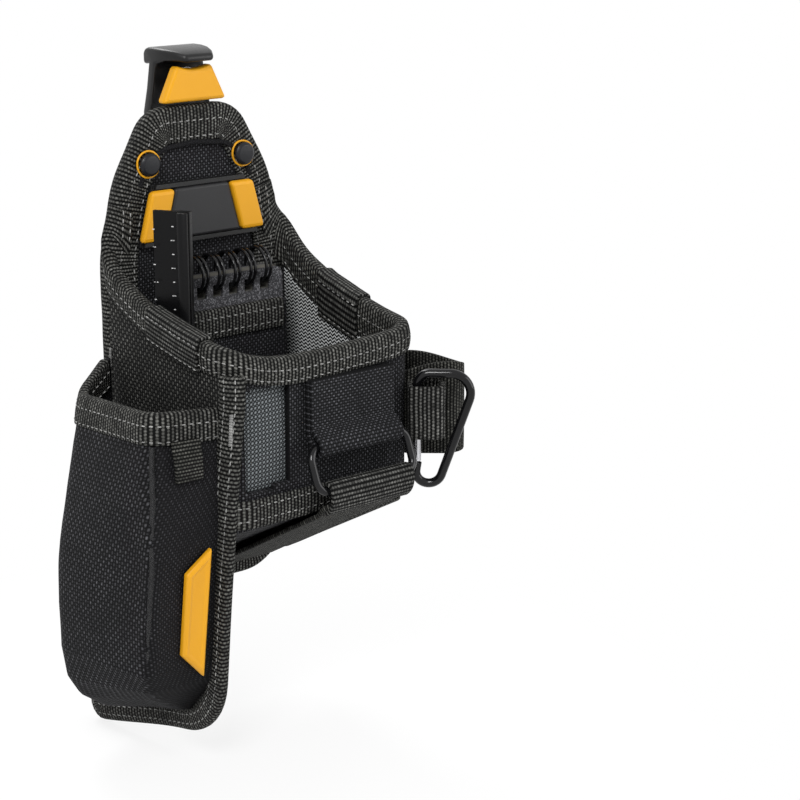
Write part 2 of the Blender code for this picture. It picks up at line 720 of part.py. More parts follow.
def build_front_and_right_walls():
    turn = RIGHT_CORNER_RADIUS
    corner_x = RIGHT_X - FABRIC / 2 - turn
    corner_forward = FRONT_MID - turn
    inner_turn = WALL_TURN_RADIUS - FABRIC - EDGE - FIT
    rise = POCKET_DEPTH - WALL_TURN
    left_end = LEFT_X + WALL_TURN_RADIUS - math.sqrt(max(0, inner_turn ** 2 - rise ** 2)) + 6 * FIT
    left_arc_x = LEFT_X + FABRIC / 2 + LEFT_RIM_RADIUS
    flat = corner_x - left_end
    bend = turn * math.pi / 2

    # Below the rim's tape the wall's left end curls back behind the left wall's turned edge
    turn_x = LEFT_X + WALL_TURN_RADIUS
    curl_start = Vector((left_end - turn_x, FRONT_MID - WALL_TURN))
    curl_radius = curl_start.length
    curl_angle = math.atan2(curl_start.y, curl_start.x)
    curl = curl_radius * (math.pi - curl_angle)

    def front_wall(length, height):
        if length < 0:
            angle = curl_angle - length / curl_radius
            forward = WALL_TURN + curl_radius * math.sin(angle)
            z = lerp(FRONT_BOTTOM_Z, wall_step_z(), height)
            return Vector((turn_x + curl_radius * math.cos(angle), front(forward), z))
        x = left_end + length
        forward = FRONT_MID
        if x < left_arc_x:
            sideways = left_arc_x - x
            forward += math.sqrt(LEFT_RIM_RADIUS ** 2 - sideways ** 2) - LEFT_RIM_RADIUS
        if length > flat:
            angle = (length - flat) / turn
            x = corner_x + turn * math.sin(angle)
            forward = corner_forward + turn * math.cos(angle)
        high = rim_z(forward) - EDGE if length > 0 else wall_step_z()
        return Vector((x, front(forward), lerp(FRONT_BOTTOM_Z, high, height)))

    window_x = (WINDOW_LEFT_X, WINDOW_LEFT_X + WINDOW_WIDTH)
    window_top = RIM_FRONT_Z - WINDOW_TOP_DROP
    columns = [*steps(-curl, 0, 4), FIT]
    columns += sorted([flat, left_arc_x - left_end, window_x[1] - left_end])
    columns += [flat + bend * k / 5 for k in range(1, 6)]
    wall = sheet("front_wall", columns, [0, 1], front_wall, FABRIC, NYLON)
    hole = block(
        "mesh_window_hole",
        (window_x[0], front(POCKET_DEPTH + FABRIC), window_top - WINDOW_HEIGHT),
        (window_x[1], front(POCKET_DEPTH - 2 * FABRIC), window_top),
        None,
        True,
    )
    boolean(wall, hole)
    # The mesh is sewn to the inside and overlaps the window's edge
    overlap = 1.5 * MM
    inside = POCKET_DEPTH - FABRIC - 2 * FIT - MESH / 2
    sheet(
        "mesh_window",
        [max(window_x[0] - overlap, left_end + 3 * FIT), window_x[1] + overlap],
        [window_top - WINDOW_HEIGHT - overlap, window_top + overlap],
        lambda x, z: Vector((x, front(inside), z)),
        MESH,
        GREY_MESH,
    )
    ends = [left_end + 2 * MM, corner_x]
    path = [Vector((x, front(FRONT_MID), FRONT_BOTTOM_Z)) for x in ends]
    up = [Vector((0, 0, 1))] * 2
    edging("front_wall_binding", path, up, [Vector((0, 1, 0))] * 2, FABRIC, leg=TAPE_LEG)

    def right_wall(forward, height):
        low = floor_z(forward) - FABRIC * 2
        return Vector((RIGHT_X - FABRIC / 2, front(forward), lerp(low, rim_z(forward) - EDGE, height)))

    stations = [WALL_BACK, *steps(WALL_BACK + EDGE, corner_forward, RIM_STATIONS)]
    stations[-1] -= FIT
    sheet("right_wall", stations, [0, 1], right_wall, FABRIC, NYLON)

    def lining(forward, height):
        low = floor_z(forward) + FABRIC
        high = rim_z(forward) - EDGE - TAPE_LEG - 2 * FIT
        x = RIGHT_X - FABRIC - FIT - LINING / 2
        return Vector((x, front(forward), lerp(low, high, height)))

    sheet("right_wall_lining", steps(WALL_BACK + FIT, corner_forward - 2 * FIT, 10), [0, 1], lining,
          LINING, GREY_MESH)

    # The floor narrows at the front, where the left wall's tape turns into the pocket
    def floor(share, forward):
        turned_in = max(0, forward - WALL_TURN * 0.8) / (WALL_TURN * 0.2)
        x = lerp(floor_left + 2 * EDGE * turned_in, floor_right, share)
        return Vector((x, front(forward), floor_z(forward) - FABRIC / 2))

    floor_left = LEFT_X + FABRIC + FIT
    floor_right = RIGHT_X - FABRIC - LINING - 3 * FIT
    floor_front = POCKET_DEPTH - FABRIC - 2 * EDGE - 2 * FIT - MESH
    runs = [WALL_BACK + FIT, WALL_TURN * 0.8, floor_front]
    sheet("pocket_floor", [0, 1], runs, floor, FABRIC, NYLON)


def rim_path():
    """The rim's plan as (x, forward), from the panel round the left, front and right walls."""
    left = LEFT_X + FABRIC / 2
    right = RIGHT_X - FABRIC / 2
    start = WALL_BACK + EDGE
    corners = [
        (left, start, 0),
        (left, FRONT_MID, LEFT_RIM_RADIUS),
        (right, FRONT_MID, RIGHT_CORNER_RADIUS),
        (right, start, 0),
    ]
    bends = rounded(corners)
    runs = [Vector((left, f)) for f in steps(start, FRONT_MID - LEFT_RIM_RADIUS, RIM_STATIONS)[:-1]]
    back = [Vector((right, f)) for f in steps(FRONT_MID - RIGHT_CORNER_RADIUS, start, RIM_STATIONS)[1:]]
    return runs + bends[1:-1] + back


def rim_tape(name, plan, lift, leg):
    normals = miters(plan)
    path = [Vector((p.x, front(p.y), rim_z(p.y) - EDGE + FIT + lift)) for p in plan]
    across = [Vector((n.x, -n.y, 0)) for n in normals]
    down = [Vector((0, 0, -1))] * len(plan)
    return edging(name, path, down, across, FABRIC + 2 * lift, leg=leg)


def build_rim():
    plan = rim_path()
    rim_tape("rim_binding", plan, 0, TAPE_LEG)
    # Webbing folded over the rim on each side
    over = EDGE + FIT
    left = plan[RIM_STATIONS // 2 : RIM_STATIONS + 1]
    right = plan[-RIM_STATIONS + 1 : -RIM_STATIONS // 3]
    for name, run in (("rim_patch_left", left), ("rim_patch_right", right)):
        rim_tape(name, run, over, TAPE_LEG + EDGE).data.materials[0] = STRAPPING


def wall_front(z):
    """Length of the left wall, from the panel's face to its front edge, at this height."""
    table = [
        (WALL_BOTTOM_FRONT_Z, WALL_FRONT_FOOT),
        (WALL_FRONT_KNEE_Z, WALL_FRONT_KNEE),
        (wall_step_z(), WALL_FRONT_TOP),
    ]
    return along(table, z)


def wall_step_z():
    """Where the left wall's turned edge ends, below the rim's tape."""
    return RIM_FRONT_Z - TAPE_LEG - EDGE - 2 * FIT - TAPE


def left_wall_place(length, z, outward=0.0):
    """A place on the left wall's middle surface, moved outward from it."""
    radius = WALL_TURN_RADIUS - FABRIC / 2
    mid_x = LEFT_X + FABRIC / 2
    if length <= WALL_TURN:
        return Vector((mid_x - outward, front(length), z))
    angle = (length - WALL_TURN) / radius
    reach = radius + outward
    x = mid_x + radius - reach * math.cos(angle)
    return Vector((x, front(WALL_TURN + reach * math.sin(angle)), z))


def left_wall_edge():
    """The hanging edge of the left wall as (length, z): down its back, along its foot, up its front."""
    step = wall_step_z()
    corners = [
        (-WALL_BACK_REACH, PANEL_BOTTOM - EDGE - 2 * FIT - TAPE, 0),
        (-WALL_BACK_REACH, WALL_BOTTOM_BACK_Z, WALL_BACK_CORNER),
        (WALL_FRONT_FOOT, WALL_BOTTOM_FRONT_Z, WALL_FRONT_CORNER),
        (WALL_FRONT_KNEE, WALL_FRONT_KNEE_Z, WALL_KNEE_RADIUS),
        (WALL_FRONT_TOP, step - TAPE_LEG, 0),
        (WALL_FRONT_TOP, step, 0),
    ]
    return rounded(corners)


def build_left_wall():
    edge = left_wall_edge()
    step = wall_step_z()
    panel_foot = PANEL_BOTTOM - EDGE - 2 * FIT - TAPE
    rim_end = FRONT_MID - LEFT_RIM_RADIUS

    lowest = min(range(len(edge)), key=lambda i: edge[i].y)
    back_points = edge[: lowest + 1]
    foot_points = edge[lowest:]

    def low(length):
        if length <= back_points[-1].x:
            return along([(p.x, p.y) for p in back_points[1:]], length)
        return along([(p.x, p.y) for p in foot_points[:-1]], length)

    def high(length):
        if length < WALL_BACK:
            return panel_foot
        if length <= rim_end:
            return rim_z(length) - EDGE
        return step

    lengths = {p.x for p in edge[1:-1]}
    lengths |= {WALL_BACK - FIT, WALL_BACK, rim_end, rim_end + FIT}
    lengths |= set(steps(WALL_BACK + EDGE, rim_end, RIM_STATIONS))
    lengths |= {WALL_TURN + (WALL_FRONT_TOP - WALL_TURN) * k / 5 for k in range(6)}
    columns = []
    for length in sorted(lengths):
        if not columns or length - columns[-1] > MM / 5:
            columns.append(length)

    def place(length, height):
        return left_wall_place(length, lerp(low(length), high(length), height))

    sheet("left_wall", columns, [0, 0.5, 1], place, FABRIC, NYLON)
    # The tape follows the hanging edge and turns forward with it
    fine = []
    for a, b in zip(edge, edge[1:]):
        turned_part = max(a.x, b.x) > WALL_TURN - TAPE_LEG
        pieces = max(1, round((b - a).length / (4 * MM))) if turned_part else 1
        fine += [a.lerp(b, k / pieces) for k in range(pieces)]
    fine.append(edge[-1])
    normals = miters(fine)
    half = FABRIC / 2 + 2 * FIT + TAPE / 2
    lift = FIT + TAPE / 2

    def tape(index, fold):
        i = round(index)
        side, depth = fold
        point = fine[i] + normals[i] * (depth * (WALL_TAPE_LEG + lift) - lift)
        return left_wall_place(point.x, point.y, half * side)

    folds = [(-1, 1), (-1, 0.5), (-1, 0), (1, 0), (1, 0.5), (1, 1)]
    sheet("left_wall_binding", list(range(len(fine))), folds, tape, TAPE, EDGING)


def tool_profile(share):
    """The tool pocket's outer face from rim (0) to foot (1): its depth, height, back corner and ridge."""
    bend = 0.75
    if share <= bend:
        z = lerp(TOOL_RIM_Z - EDGE, TOOL_BEND_Z, share / bend)
        depth = along([(TOOL_BEND_Z, TOOL_BEND_DEPTH), (TOOL_BELLY_Z, TOOL_BELLY_DEPTH),
                       (TOOL_RIM_Z, TOOL_RIM_DEPTH)], z)
    else:
        angle = (share - bend) / (1 - bend) * math.pi / 2
        depth = lerp(TOOL_FABRIC + FIT, TOOL_BEND_DEPTH, math.cos(angle))
        z = lerp(TOOL_BEND_Z, TOOL_FOOT_Z, math.sin(angle))
    back = along([(TOOL_FOOT_Z, TOOL_FOOT_BACK), (TOOL_BELLY_Z, TOOL_BELLY_BACK),
                  (TOOL_RIM_Z, TOOL_RIM_BACK)], z)
    ridge = along([(TOOL_FOOT_Z, TOOL_FOOT_RIDGE), (TOOL_BEND_Z, TOOL_BEND_RIDGE),
                   (TOOL_BELLY_Z, TOOL_BELLY_RIDGE), (TOOL_RIM_Z, TOOL_RIM_RIDGE)], z)
    return depth, z, back, ridge


def tool_front_root(z):
    """How far forward the front side is sewn to the left wall, just behind the wall's tape."""
    clear = WALL_TAPE_LEG + EDGE + 2 * FIT
    if z < TOOL_BEND_Z:
        share = (z - TOOL_FOOT_Z) / (TOOL_BEND_Z - TOOL_FOOT_Z)
        return lerp(TOOL_FOOT_ROOT, wall_front(TOOL_BEND_Z) - clear, share)
    return min(WALL_TURN - FIT, wall_front(z) - clear)


def tool_wall_ends(share, which):
    """Plan points (x, forward) of a side wall at this height: its root on the left wall and its corner."""
    depth, z, back, ridge = tool_profile(share)
    root_x = LEFT_X - FIT - TOOL_FABRIC / 2
    corner = Vector((LEFT_X - depth, back if which == "rear" else ridge))
    root = Vector((root_x, TOOL_BACK_ROOT if which == "rear" else tool_front_root(z)))
    return root, corner, z


def tool_rim_plan(share):
    """The tool pocket's plan at this share of its height, from root to root, clear of the left wall."""
    rear_root, rear_corner, _ = tool_wall_ends(share, "rear")
    front_root, ridge, _ = tool_wall_ends(share, "front")
    clear = TOOL_FABRIC / 2 + EDGE + FIT
    rear_root += (rear_corner - rear_root) * clear / abs(rear_corner.x - rear_root.x)
    front_root += (ridge - front_root) * clear / abs(ridge.x - front_root.x)
    corners = [rear_root, rear_corner, ridge, front_root]
    plan = [a.lerp(b, k / 3) for a, b in zip(corners, corners[1:]) for k in range(3)]
    return [*plan, front_root]


def build_tool_pocket():
    shares = steps(0, 0.75, 6) + steps(0.75, 1, 6)[1:]

    def face(share, across):
        depth, z, back, ridge = tool_profile(share)
        return Vector((LEFT_X - depth, front(lerp(back, ridge, across)), z))

    sheet("tool_pocket_face", shares, steps(0, 1, 3), face, TOOL_FABRIC, NYLON)

    def side_wall(which):
        def place(share, across):
            root, corner, z = tool_wall_ends(share, which)
            run = corner - root
            clear = min(run.length * 0.8, TOOL_FABRIC * 1.1 + FIT)
            point = root + run.normalized() * (run.length - clear) * across
            return Vector((point.x, front(point.y), z))

        return place

    sides = steps(0, 0.75, 6) + steps(0.75, 0.87, 4)[1:]
    sheet("tool_pocket_rear_side", sides, steps(0, 1, 3), side_wall("rear"), TOOL_FABRIC, NYLON)
    sheet("tool_pocket_front_side", sides, steps(0, 1, 3), side_wall("front"), TOOL_FABRIC, NYLON)
    # Tape round the rim, whose legs lean with the walls
    leg_share = 0.75 * TAPE_LEG / (TOOL_RIM_Z - EDGE - TOOL_BEND_Z)
    upper = tool_rim_plan(0)
    lower = tool_rim_plan(leg_share)
    normals = miters(upper)
    path = [Vector((p.x, front(p.y), TOOL_RIM_Z - EDGE + FIT)) for p in upper]
    across = [Vector((n.x, -n.y, 0)) for n in normals]
    lean = [Vector((b.x - a.x, a.y - b.y, -TAPE_LEG)) / TAPE_LEG for a, b in zip(upper, lower)]
    edging("tool_pocket_binding", path, lean, across, TOOL_FABRIC)
    build_on_front_side()


def build_on_front_side():
    """The webbing tab and the yellow tag on the tool pocket's front side."""
    def on_side(z, across, outward):
        table = [(tool_profile(s)[1], s) for s in reversed(steps(0, 0.75, 6))]
        root, corner, _ = tool_wall_ends(along(table, z), "front")
        run = (corner - root).normalized()
        normal = Vector((-run.y, run.x))
        if normal.y < 0:
            normal = -normal
        point = root + run * across + normal * outward
        return Vector((point.x, front(point.y), z))

    tab_top = TOOL_RIM_Z - TAPE_LEG - EDGE - TAPE
    inset = 4.0 * MM
    lift = TOOL_FABRIC / 2 + FIT + WEBBING / 2
    sheet(
        "tool_pocket_tab",
        [tab_top, tab_top - TAB_LENGTH],
        [inset, inset + TAB_WIDTH],
        lambda z, across: on_side(z, across, lift),
        WEBBING,
        STRAPPING,
    )
    # The tag is an elongated hexagon whose long edge lies beside the wall's tape
    tag_lift = TOOL_FABRIC / 2 + 3 * FIT + TAG_THICKNESS / 2
    tag_inset = 2.2 * MM

    def tag(z_share, across):
        z = TAG_TOP_Z - TAG_HEIGHT * z_share
        end = min(z_share, 1 - z_share) * TAG_HEIGHT
        width = TAG_WIDTH * min(1, 0.12 + 0.88 * end / TAG_POINT)
        return on_side(z, tag_inset + width * across, tag_lift)

    point = TAG_POINT / TAG_HEIGHT
    rows = [0, *steps(point, 1 - point, 4), 1]
    sheet("edge_tag", rows, [0, 1], tag, TAG_THICKNESS, YELLOW)


def build_notebook():
    half = NOTEBOOK_WIDTH / 2
    foot = NOTEBOOK_TOP_Z - NOTEBOOK_HEIGHT
    face = front(NOTEBOOK_FRONT)
    layers = [
        ("notebook_front_cover", face, face + COVER, CARD),
        ("notebook_pages", face + COVER + FIT, face + COVER + FIT + PAGES, PAPER),
        ("notebook_back_cover", face + COVER + PAGES + 2 * FIT, face + NOTEBOOK_THICKNESS, CARD),
    ]
    hole_z = NOTEBOOK_TOP_Z - LOOP_HOLE_DROP
    first = -(LOOP_COUNT - 1) * LOOP_PITCH / 2
    holes = []
    for k in range(LOOP_COUNT):
        x = first + k * LOOP_PITCH
        wide = LOOP_TWIN / 2 + LOOP_WIRE + 2 * FIT
        tall = LOOP_WIRE + 1.8 * MM
        holes.append([(x - wide, hole_z - tall), (x + wide, hole_z - tall),
                      (x + wide, hole_z + tall), (x - wide, hole_z + tall)])
    corner = 3 * MM
    outline = rounded([(-half, foot, corner), (half, foot, corner), (half, NOTEBOOK_TOP_Z, corner),
                       (-half, NOTEBOOK_TOP_Z, corner)], closed=True)
    for name, low, high, finish in layers:
        plate(name, outline, low, high, finish, holes=holes)
    # One wire bent into twin loops: up through a hole, round, across and back
    middle = face + NOTEBOOK_THICKNESS / 2
    centre_z = hole_z + LOOP_RADIUS
    angles = steps(math.radians(-25), math.radians(314), 15)
    wire = []
    for k in range(LOOP_COUNT):
        x = first + k * LOOP_PITCH
        for offset, run in ((-LOOP_TWIN / 2, angles), (LOOP_TWIN / 2, angles[::-1])):
            for angle in run:
                y = middle + LOOP_RADIUS * math.cos(angle)
                wire.append((x + offset, y, centre_z + LOOP_RADIUS * math.sin(angle)))
    rod("notebook_wire", wire, LOOP_WIRE, BLACK_STEEL, sides=0)


def build_sleeve():
    back = FIT
    face = NOTEBOOK_FRONT + NOTEBOOK_GAP + SLEEVE
    foot = NOTEBOOK_TOP_Z - NOTEBOOK_HEIGHT - FIT
    mid = SLEEVE / 2
    corners = [
        (-SLEEVE_HALF + mid, back, 0),
        (-SLEEVE_HALF + mid, face - mid, 2 * MM),
        (SLEEVE_HALF - mid, face - mid, 2 * MM),
        (SLEEVE_HALF - mid, back, 0),
    ]
    plan = rounded(corners)
    bottom = foot - SLEEVE - FIT
    sheet(
        "inner_pocket",
        list(range(len(plan))),
        [bottom, SLEEVE_TOP_Z],
        lambda i, z: Vector((plan[i].x, front(plan[i].y), z)),
        SLEEVE,
        NYLON,
    )
    wide = SLEEVE_HALF - SLEEVE - 3 * FIT
    base_low = (-wide, front(face - SLEEVE - 3 * FIT), foot - SLEEVE)
    block("inner_pocket_base", base_low, (wide, front(FIT), foot), NYLON)
    ends = [-SLEEVE_HALF + 4 * MM, SLEEVE_HALF - 4 * MM]
    path = [Vector((x, front(face - mid), SLEEVE_TOP_Z)) for x in ends]
    outer = front(face) - FIT - TAPE / 2
    top = SLEEVE_TOP_Z + FIT + TAPE / 2
    # The tape lies on the sleeve's face and folds over its rim
    folds = [(outer, SLEEVE_TOP_Z - TAPE_LEG), (outer, top), (path[0].y + SLEEVE / 2 - TAPE / 2, top)]
    sheet("inner_pocket_binding", ends, folds, lambda x, fold: Vector((x, *fold)), TAPE, EDGING)


def build_rule():
    low = floor_z(RULE_FORWARD + RULE_WIDTH) + FIT
    half = RULE_WIDTH / 2
    thick = RULE_THICKNESS
    # A flat scale with a raised, rounded back on one side
    section = [
        (-half, 0, 0), (half, 0, MM / 2), (half, thick, thick / 3),
        (half - RULE_WIDTH * 0.3, thick, thick / 3), (half - RULE_WIDTH * 0.42, thick * 0.6, thick / 4),
        (-half, thick * 0.6, MM / 3),
    ]
    rule = plate("pocket_rule", rounded(section, closed=True), low, RULE_TOP_Z, BLACK_PLASTIC)
    rule.data.transform(Matrix.Rotation(math.pi / 2, 4, "X") @ Matrix.Scale(-1, 4, (0, 0, 1)))
    rule.data.transform(Matrix.Rotation(RULE_TURN, 4, "Z"))
    rule.data.transform(Matrix.Translation((RULE_X, front(RULE_FORWARD), 0)))
    height = [vert.co.z for vert in rule.data.vertices]
    rule.data.transform(Matrix.Translation((0, 0, RULE_TOP_Z - max(height))))
    flip_if_inside_out(rule.data)


def ring_frame():
    """The ring's upper bar as (forward, z), and the way down to its lower bar."""
    clear = POCKET_DEPTH + FIT + WEBBING + RING_SLACK + RING_WIRE
    top = Vector((clear + WEBBING, RIM_FRONT_Z - RING_DROP))
    down = Vector((math.sin(RING_LEAN), -math.cos(RING_LEAN)))
    return top, down, RING_HEIGHT - 2 * RING_WIRE


def strap(name, path, finish=STRAPPING):
    """Webbing across X that follows a path of (forward, z) points."""
    half = STRAP_WIDTH / 2
    return sheet(
        name,
        list(range(len(path))),
        [STRAP_X - half, STRAP_X + half],
        lambda i, x: Vector((x, front(path[i].x), path[i].y)),
        WEBBING,
        finish,
    )


def arc(centre, radius, start, end, count):
    """Points of an arc from one angle to another, in degrees from straight ahead, upwards positive."""
    return [centre + radius * Vector((math.cos(math.radians(a)), math.sin(math.radians(a))))
            for a in steps(start, end, count)]


def build_ring_strap():
    top, down, drop = ring_frame()
    low = top + down * drop
    wrap = RING_WIRE + RING_SLACK + WEBBING / 2
    inner = POCKET_DEPTH + FIT + WEBBING / 2
    outer = inner + WEBBING + FIT
    head = RIM_FRONT_Z - TAPE_LEG - EDGE - TAPE
    path = [Vector((outer, head)), Vector((outer, top.y + wrap * 2.6))]
    path += arc(top, wrap, 40, -180, 9)
    path += [Vector((inner, top.y + wrap * 1.2)), Vector((inner, head))]
    strap("hammer_loop_upper", path)
    # The ring, a rounded rectangle of wire in its leaning plane
    half = RING_WIDTH / 2 - RING_WIRE
    loop = rounded([(-half, 0, RING_CORNER), (half, 0, RING_CORNER), (half, drop, RING_CORNER),
                    (-half, drop, RING_CORNER)], closed=True, turn=math.radians(18))
    wire = []
    for point in loop:
        place = top + down * point.y
        wire.append((STRAP_X + point.x, front(place.x), place.y))
    rod("hammer_ring", wire, RING_WIRE, BLACK_STEEL, closed=True, sides=2)
    # The end of the lower webbing is sewn round the ring's lower bar and moves with it
    end_z = low.y - STRAP_END_LENGTH
    back_x = low.x - wrap
    end_path = [Vector((back_x + WEBBING / 2, end_z))] + arc(low, wrap, 180, 0, 8)
    end_path.append(Vector((low.x + wrap, end_z)))
    strap("hammer_loop_end", end_path)
    # The rest of it hangs in a bow and runs under the floor to the foot of the panel
    start = Vector((low.x + wrap, end_z - STRAP_SPLIT))
    foot = Vector((WALL_BACK + FIT, PANEL_BOTTOM + STRAP_FOOT_RISE))
    turn = start + Vector((-STRAP_BOW, -STRAP_BOW))
    tail = []
    for t in steps(0, 1, 14):
        # A curve that leaves downwards and ends at the panel
        one = start.lerp(turn, t)
        two = turn.lerp(foot, t)
        tail.append(one.lerp(two, t))
    strap("hammer_loop_lower", tail)


def side_frame():
    """Where the side loop leaves the right wall: a point and the way out, in plan."""
    start = Vector((RIGHT_X + FIT + WEBBING / 2, LOOP_NEAR))
    out = Vector((0.75, 0.66)).normalized()
    return start, out


def build_side_loop():
    start, out = side_frame()
    far = Vector((start.x, LOOP_FAR))
    normals = Vector((out.y, -out.x))
    span = (start - far).dot(Vector((-out.y, out.x)))
    tip = start + out * LOOP_REACH
    end = tip + normals * span
    corner = span * 0.42
    corners = [
        (start.x, start.y - LOOP_SEWN, 0),
        (*start, 3 * MM),
        (*tip, corner),
        (*end, corner),
        (*far, 3 * MM),
        (far.x, far.y - LOOP_SEWN, 0),
    ]
    plan = rounded(corners)

    def place(index, height):
        point = plan[index]
        droop = LOOP_DROOP * max(0, point.x - start.x) / LOOP_REACH
        return Vector((point.x, front(point.y), LOOP_TOP_Z - LOOP_BAND * height - droop))

    sheet("side_loop", list(range(len(plan))), [0, 1], place, WEBBING, STRAPPING)


def hang_frame():
    """The carabiner's upright plane: a point on the side loop, the way out and the way ahead."""
    start, out = side_frame()
    ahead = Vector((-out.y, out.x))
    return start, out, ahead


def hang_place(reach, ahead_by, z):
    start, out, ahead = hang_frame()
    point = start + out * reach + ahead * ahead_by
    return Vector((point.x, front(point.y), z))


def build_hang_loop():
    inner = WEBBING + FIT
    outer = inner + WEBBING + HANG_LOOP_INSIDE
    seam = inner + WEBBING + FIT
    tip = HANG_LOOP_LENGTH
    start = HANG_LOOP_START
    corners = [
        (start, inner, 0),
        (tip, inner, 3.5 * MM),
        (tip, outer, 3.5 * MM),
        (start + HANG_LOOP_THROAT, outer, 2 * MM),
        (start, seam, 0),
    ]
    plan = rounded(corners)
    sheet(
        "carabiner_loop",
        list(range(len(plan))),
        [HANG_LOOP_TOP_Z - HANG_LOOP_HEIGHT, HANG_LOOP_TOP_Z],
        lambda i, z: hang_place(plan[i].x, plan[i].y, z),
        WEBBING,
        STRAPPING,
    )


def gate_ahead():
    """How far ahead of the side loop the carabiner's plane stands."""
    return WEBBING + FIT + WEBBING / 2 + HANG_LOOP_INSIDE / 2


def build_carabiner():
    ahead = gate_ahead()
    top = CLIP_TOP_Z - CLIP_ROD
    bottom = CLIP_TOP_Z - CLIP_HEIGHT + CLIP_ROD
    left = GATE_X - CLIP_ROD * 0.6
    right = left + CLIP_WIDTH - 2 * CLIP_ROD
    bow = left + (right - left) * CLIP_BOW_SHARE
    gate_top = CLIP_TOP_Z - GATE_TOP_DROP
    pivot_z = gate_top - GATE_LENGTH
    line = rounded(
        [
            (GATE_X, gate_top + FIT, 0),
            (GATE_X, top, 4.5 * MM),
            (right, top, 7.5 * MM),
            (bow, bottom, 5.0 * MM),
            (left, bottom + 2 * MM, 4.5 * MM),
            (GATE_X, pivot_z - CLIP_ROD, 0),
        ],
        turn=math.radians(20),
    )
    bar = [hang_place(p.x, ahead, p.y) for p in line]
    body = rod("carabiner_body", bar, CLIP_ROD, BLACK_STEEL, sides=2)
    # A tongue on the body carries the gate's pin
    _, out, _ = hang_frame()
    turn = Matrix.Rotation(-math.atan2(out.y, out.x), 4, "Z")
    place = Matrix.Translation(hang_place(GATE_X, ahead, pivot_z)) @ turn
    wide = GATE_ROD * 0.75
    tongue = block("gate_tongue", (-wide, -GATE_TONGUE / 2, -CLIP_ROD * 2), (wide, GATE_TONGUE / 2, wide),
                   None, True)
    tongue.data.transform(place)
    boolean(body, tongue, "UNION")
    pin_hole = drill("gate_pin_hole", 0, 0, GATE_PIN + FIT / 2, -CLIP_ROD * 2, CLIP_ROD * 2)
    pin_hole.data.transform(place)
    boolean(body, pin_hole)
    ends = [place @ Vector((0, y, 0)) for y in (-GATE_ROD, GATE_ROD)]
    rod("carabiner_gate_pin", ends, GATE_PIN, STEEL, sides=2)
    line = [hang_place(GATE_X, ahead, z) for z in (pivot_z - GATE_ROD * 0.7, gate_top - FIT)]
    gate = rod("carabiner_gate", line, GATE_ROD, STEEL, sides=3)
    slot_half = GATE_TONGUE / 2 + FIT
    slot_low = (-CLIP_ROD * 2, -slot_half, -CLIP_ROD * 2)
    slot_high = (CLIP_ROD * 2, slot_half, GATE_ROD * 1.6)
    slot = block("gate_slot", slot_low, slot_high, None, True)
    slot.data.transform(place)
    boolean(gate, slot)
    boolean(gate, pin_hole)
    bore_low = GATE_ROD * 1.2
    bore_high = GATE_ROD * 1.6 + GATE_SPRING_LENGTH + 2 * FIT
    bore = drill("gate_bore", 0, 0, GATE_BORE, bore_low, bore_high)
    bore.data.transform(place @ Matrix.Rotation(math.pi / 2, 4, "X"))
    boolean(gate, bore)
    turns = 6
    wire = 0.15 * MM
    radius = GATE_BORE - wire - FIT / 2
    coil = []
    for i in range(turns * 8 + 1):
        angle = i * math.tau / 8
        z = lerp(bore_low + FIT + wire, bore_high - FIT - wire, i / (turns * 8))
        coil.append(place @ Vector((radius * math.cos(angle), radius * math.sin(angle), z)))
    rod("gate_spring", coil, wire, STEEL, sides=0, coiled=True)


def main():
    holes = rivet_drills()
    build_back_panel(holes)
    build_clip(holes)
    build_hub_socket()
    build_button()
    build_rivets()
    build_badge()
    build_front_and_right_walls()
    build_rim()
    build_left_wall()
    build_tool_pocket()
    build_notebook()
    build_sleeve()
    build_rule()
    build_ring_strap()
    build_side_loop()
    build_hang_loop()
    build_carabiner()


main()
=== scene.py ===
import math
import bmesh
import bpy
from mathutils import Matrix, Vector, noise


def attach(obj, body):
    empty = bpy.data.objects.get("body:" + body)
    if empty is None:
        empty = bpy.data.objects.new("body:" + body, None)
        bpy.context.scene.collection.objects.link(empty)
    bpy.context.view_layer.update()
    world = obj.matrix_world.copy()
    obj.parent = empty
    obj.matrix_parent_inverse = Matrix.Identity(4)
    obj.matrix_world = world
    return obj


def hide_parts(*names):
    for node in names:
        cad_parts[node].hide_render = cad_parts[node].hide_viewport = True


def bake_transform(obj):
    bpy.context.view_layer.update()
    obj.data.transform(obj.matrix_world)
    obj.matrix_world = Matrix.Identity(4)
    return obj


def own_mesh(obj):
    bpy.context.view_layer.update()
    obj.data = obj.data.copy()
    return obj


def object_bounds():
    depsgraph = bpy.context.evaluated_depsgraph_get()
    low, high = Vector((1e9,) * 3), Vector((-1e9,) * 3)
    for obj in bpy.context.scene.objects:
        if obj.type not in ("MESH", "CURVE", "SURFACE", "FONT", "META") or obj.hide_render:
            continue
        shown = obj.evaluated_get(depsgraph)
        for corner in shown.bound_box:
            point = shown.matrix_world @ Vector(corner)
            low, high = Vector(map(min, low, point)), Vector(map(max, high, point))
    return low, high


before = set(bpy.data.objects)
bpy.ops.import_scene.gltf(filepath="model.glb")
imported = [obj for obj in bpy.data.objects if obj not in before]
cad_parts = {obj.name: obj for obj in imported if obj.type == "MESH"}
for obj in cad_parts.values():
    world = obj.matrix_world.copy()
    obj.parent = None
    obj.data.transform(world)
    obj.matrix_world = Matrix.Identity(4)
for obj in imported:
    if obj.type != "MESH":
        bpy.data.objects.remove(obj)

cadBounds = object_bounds()
mm = 0.001
up = Vector((0, 0, 1))
print("frame loaded:", len(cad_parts), "nodes")


# small helpers


def lerp(a, b, t):
    return a + (b - a) * t


def steps(low, high, count):
    return [lerp(low, high, i / count) for i in range(count + 1)]


def clampShare(value):
    return max(0.0, min(1.0, value))


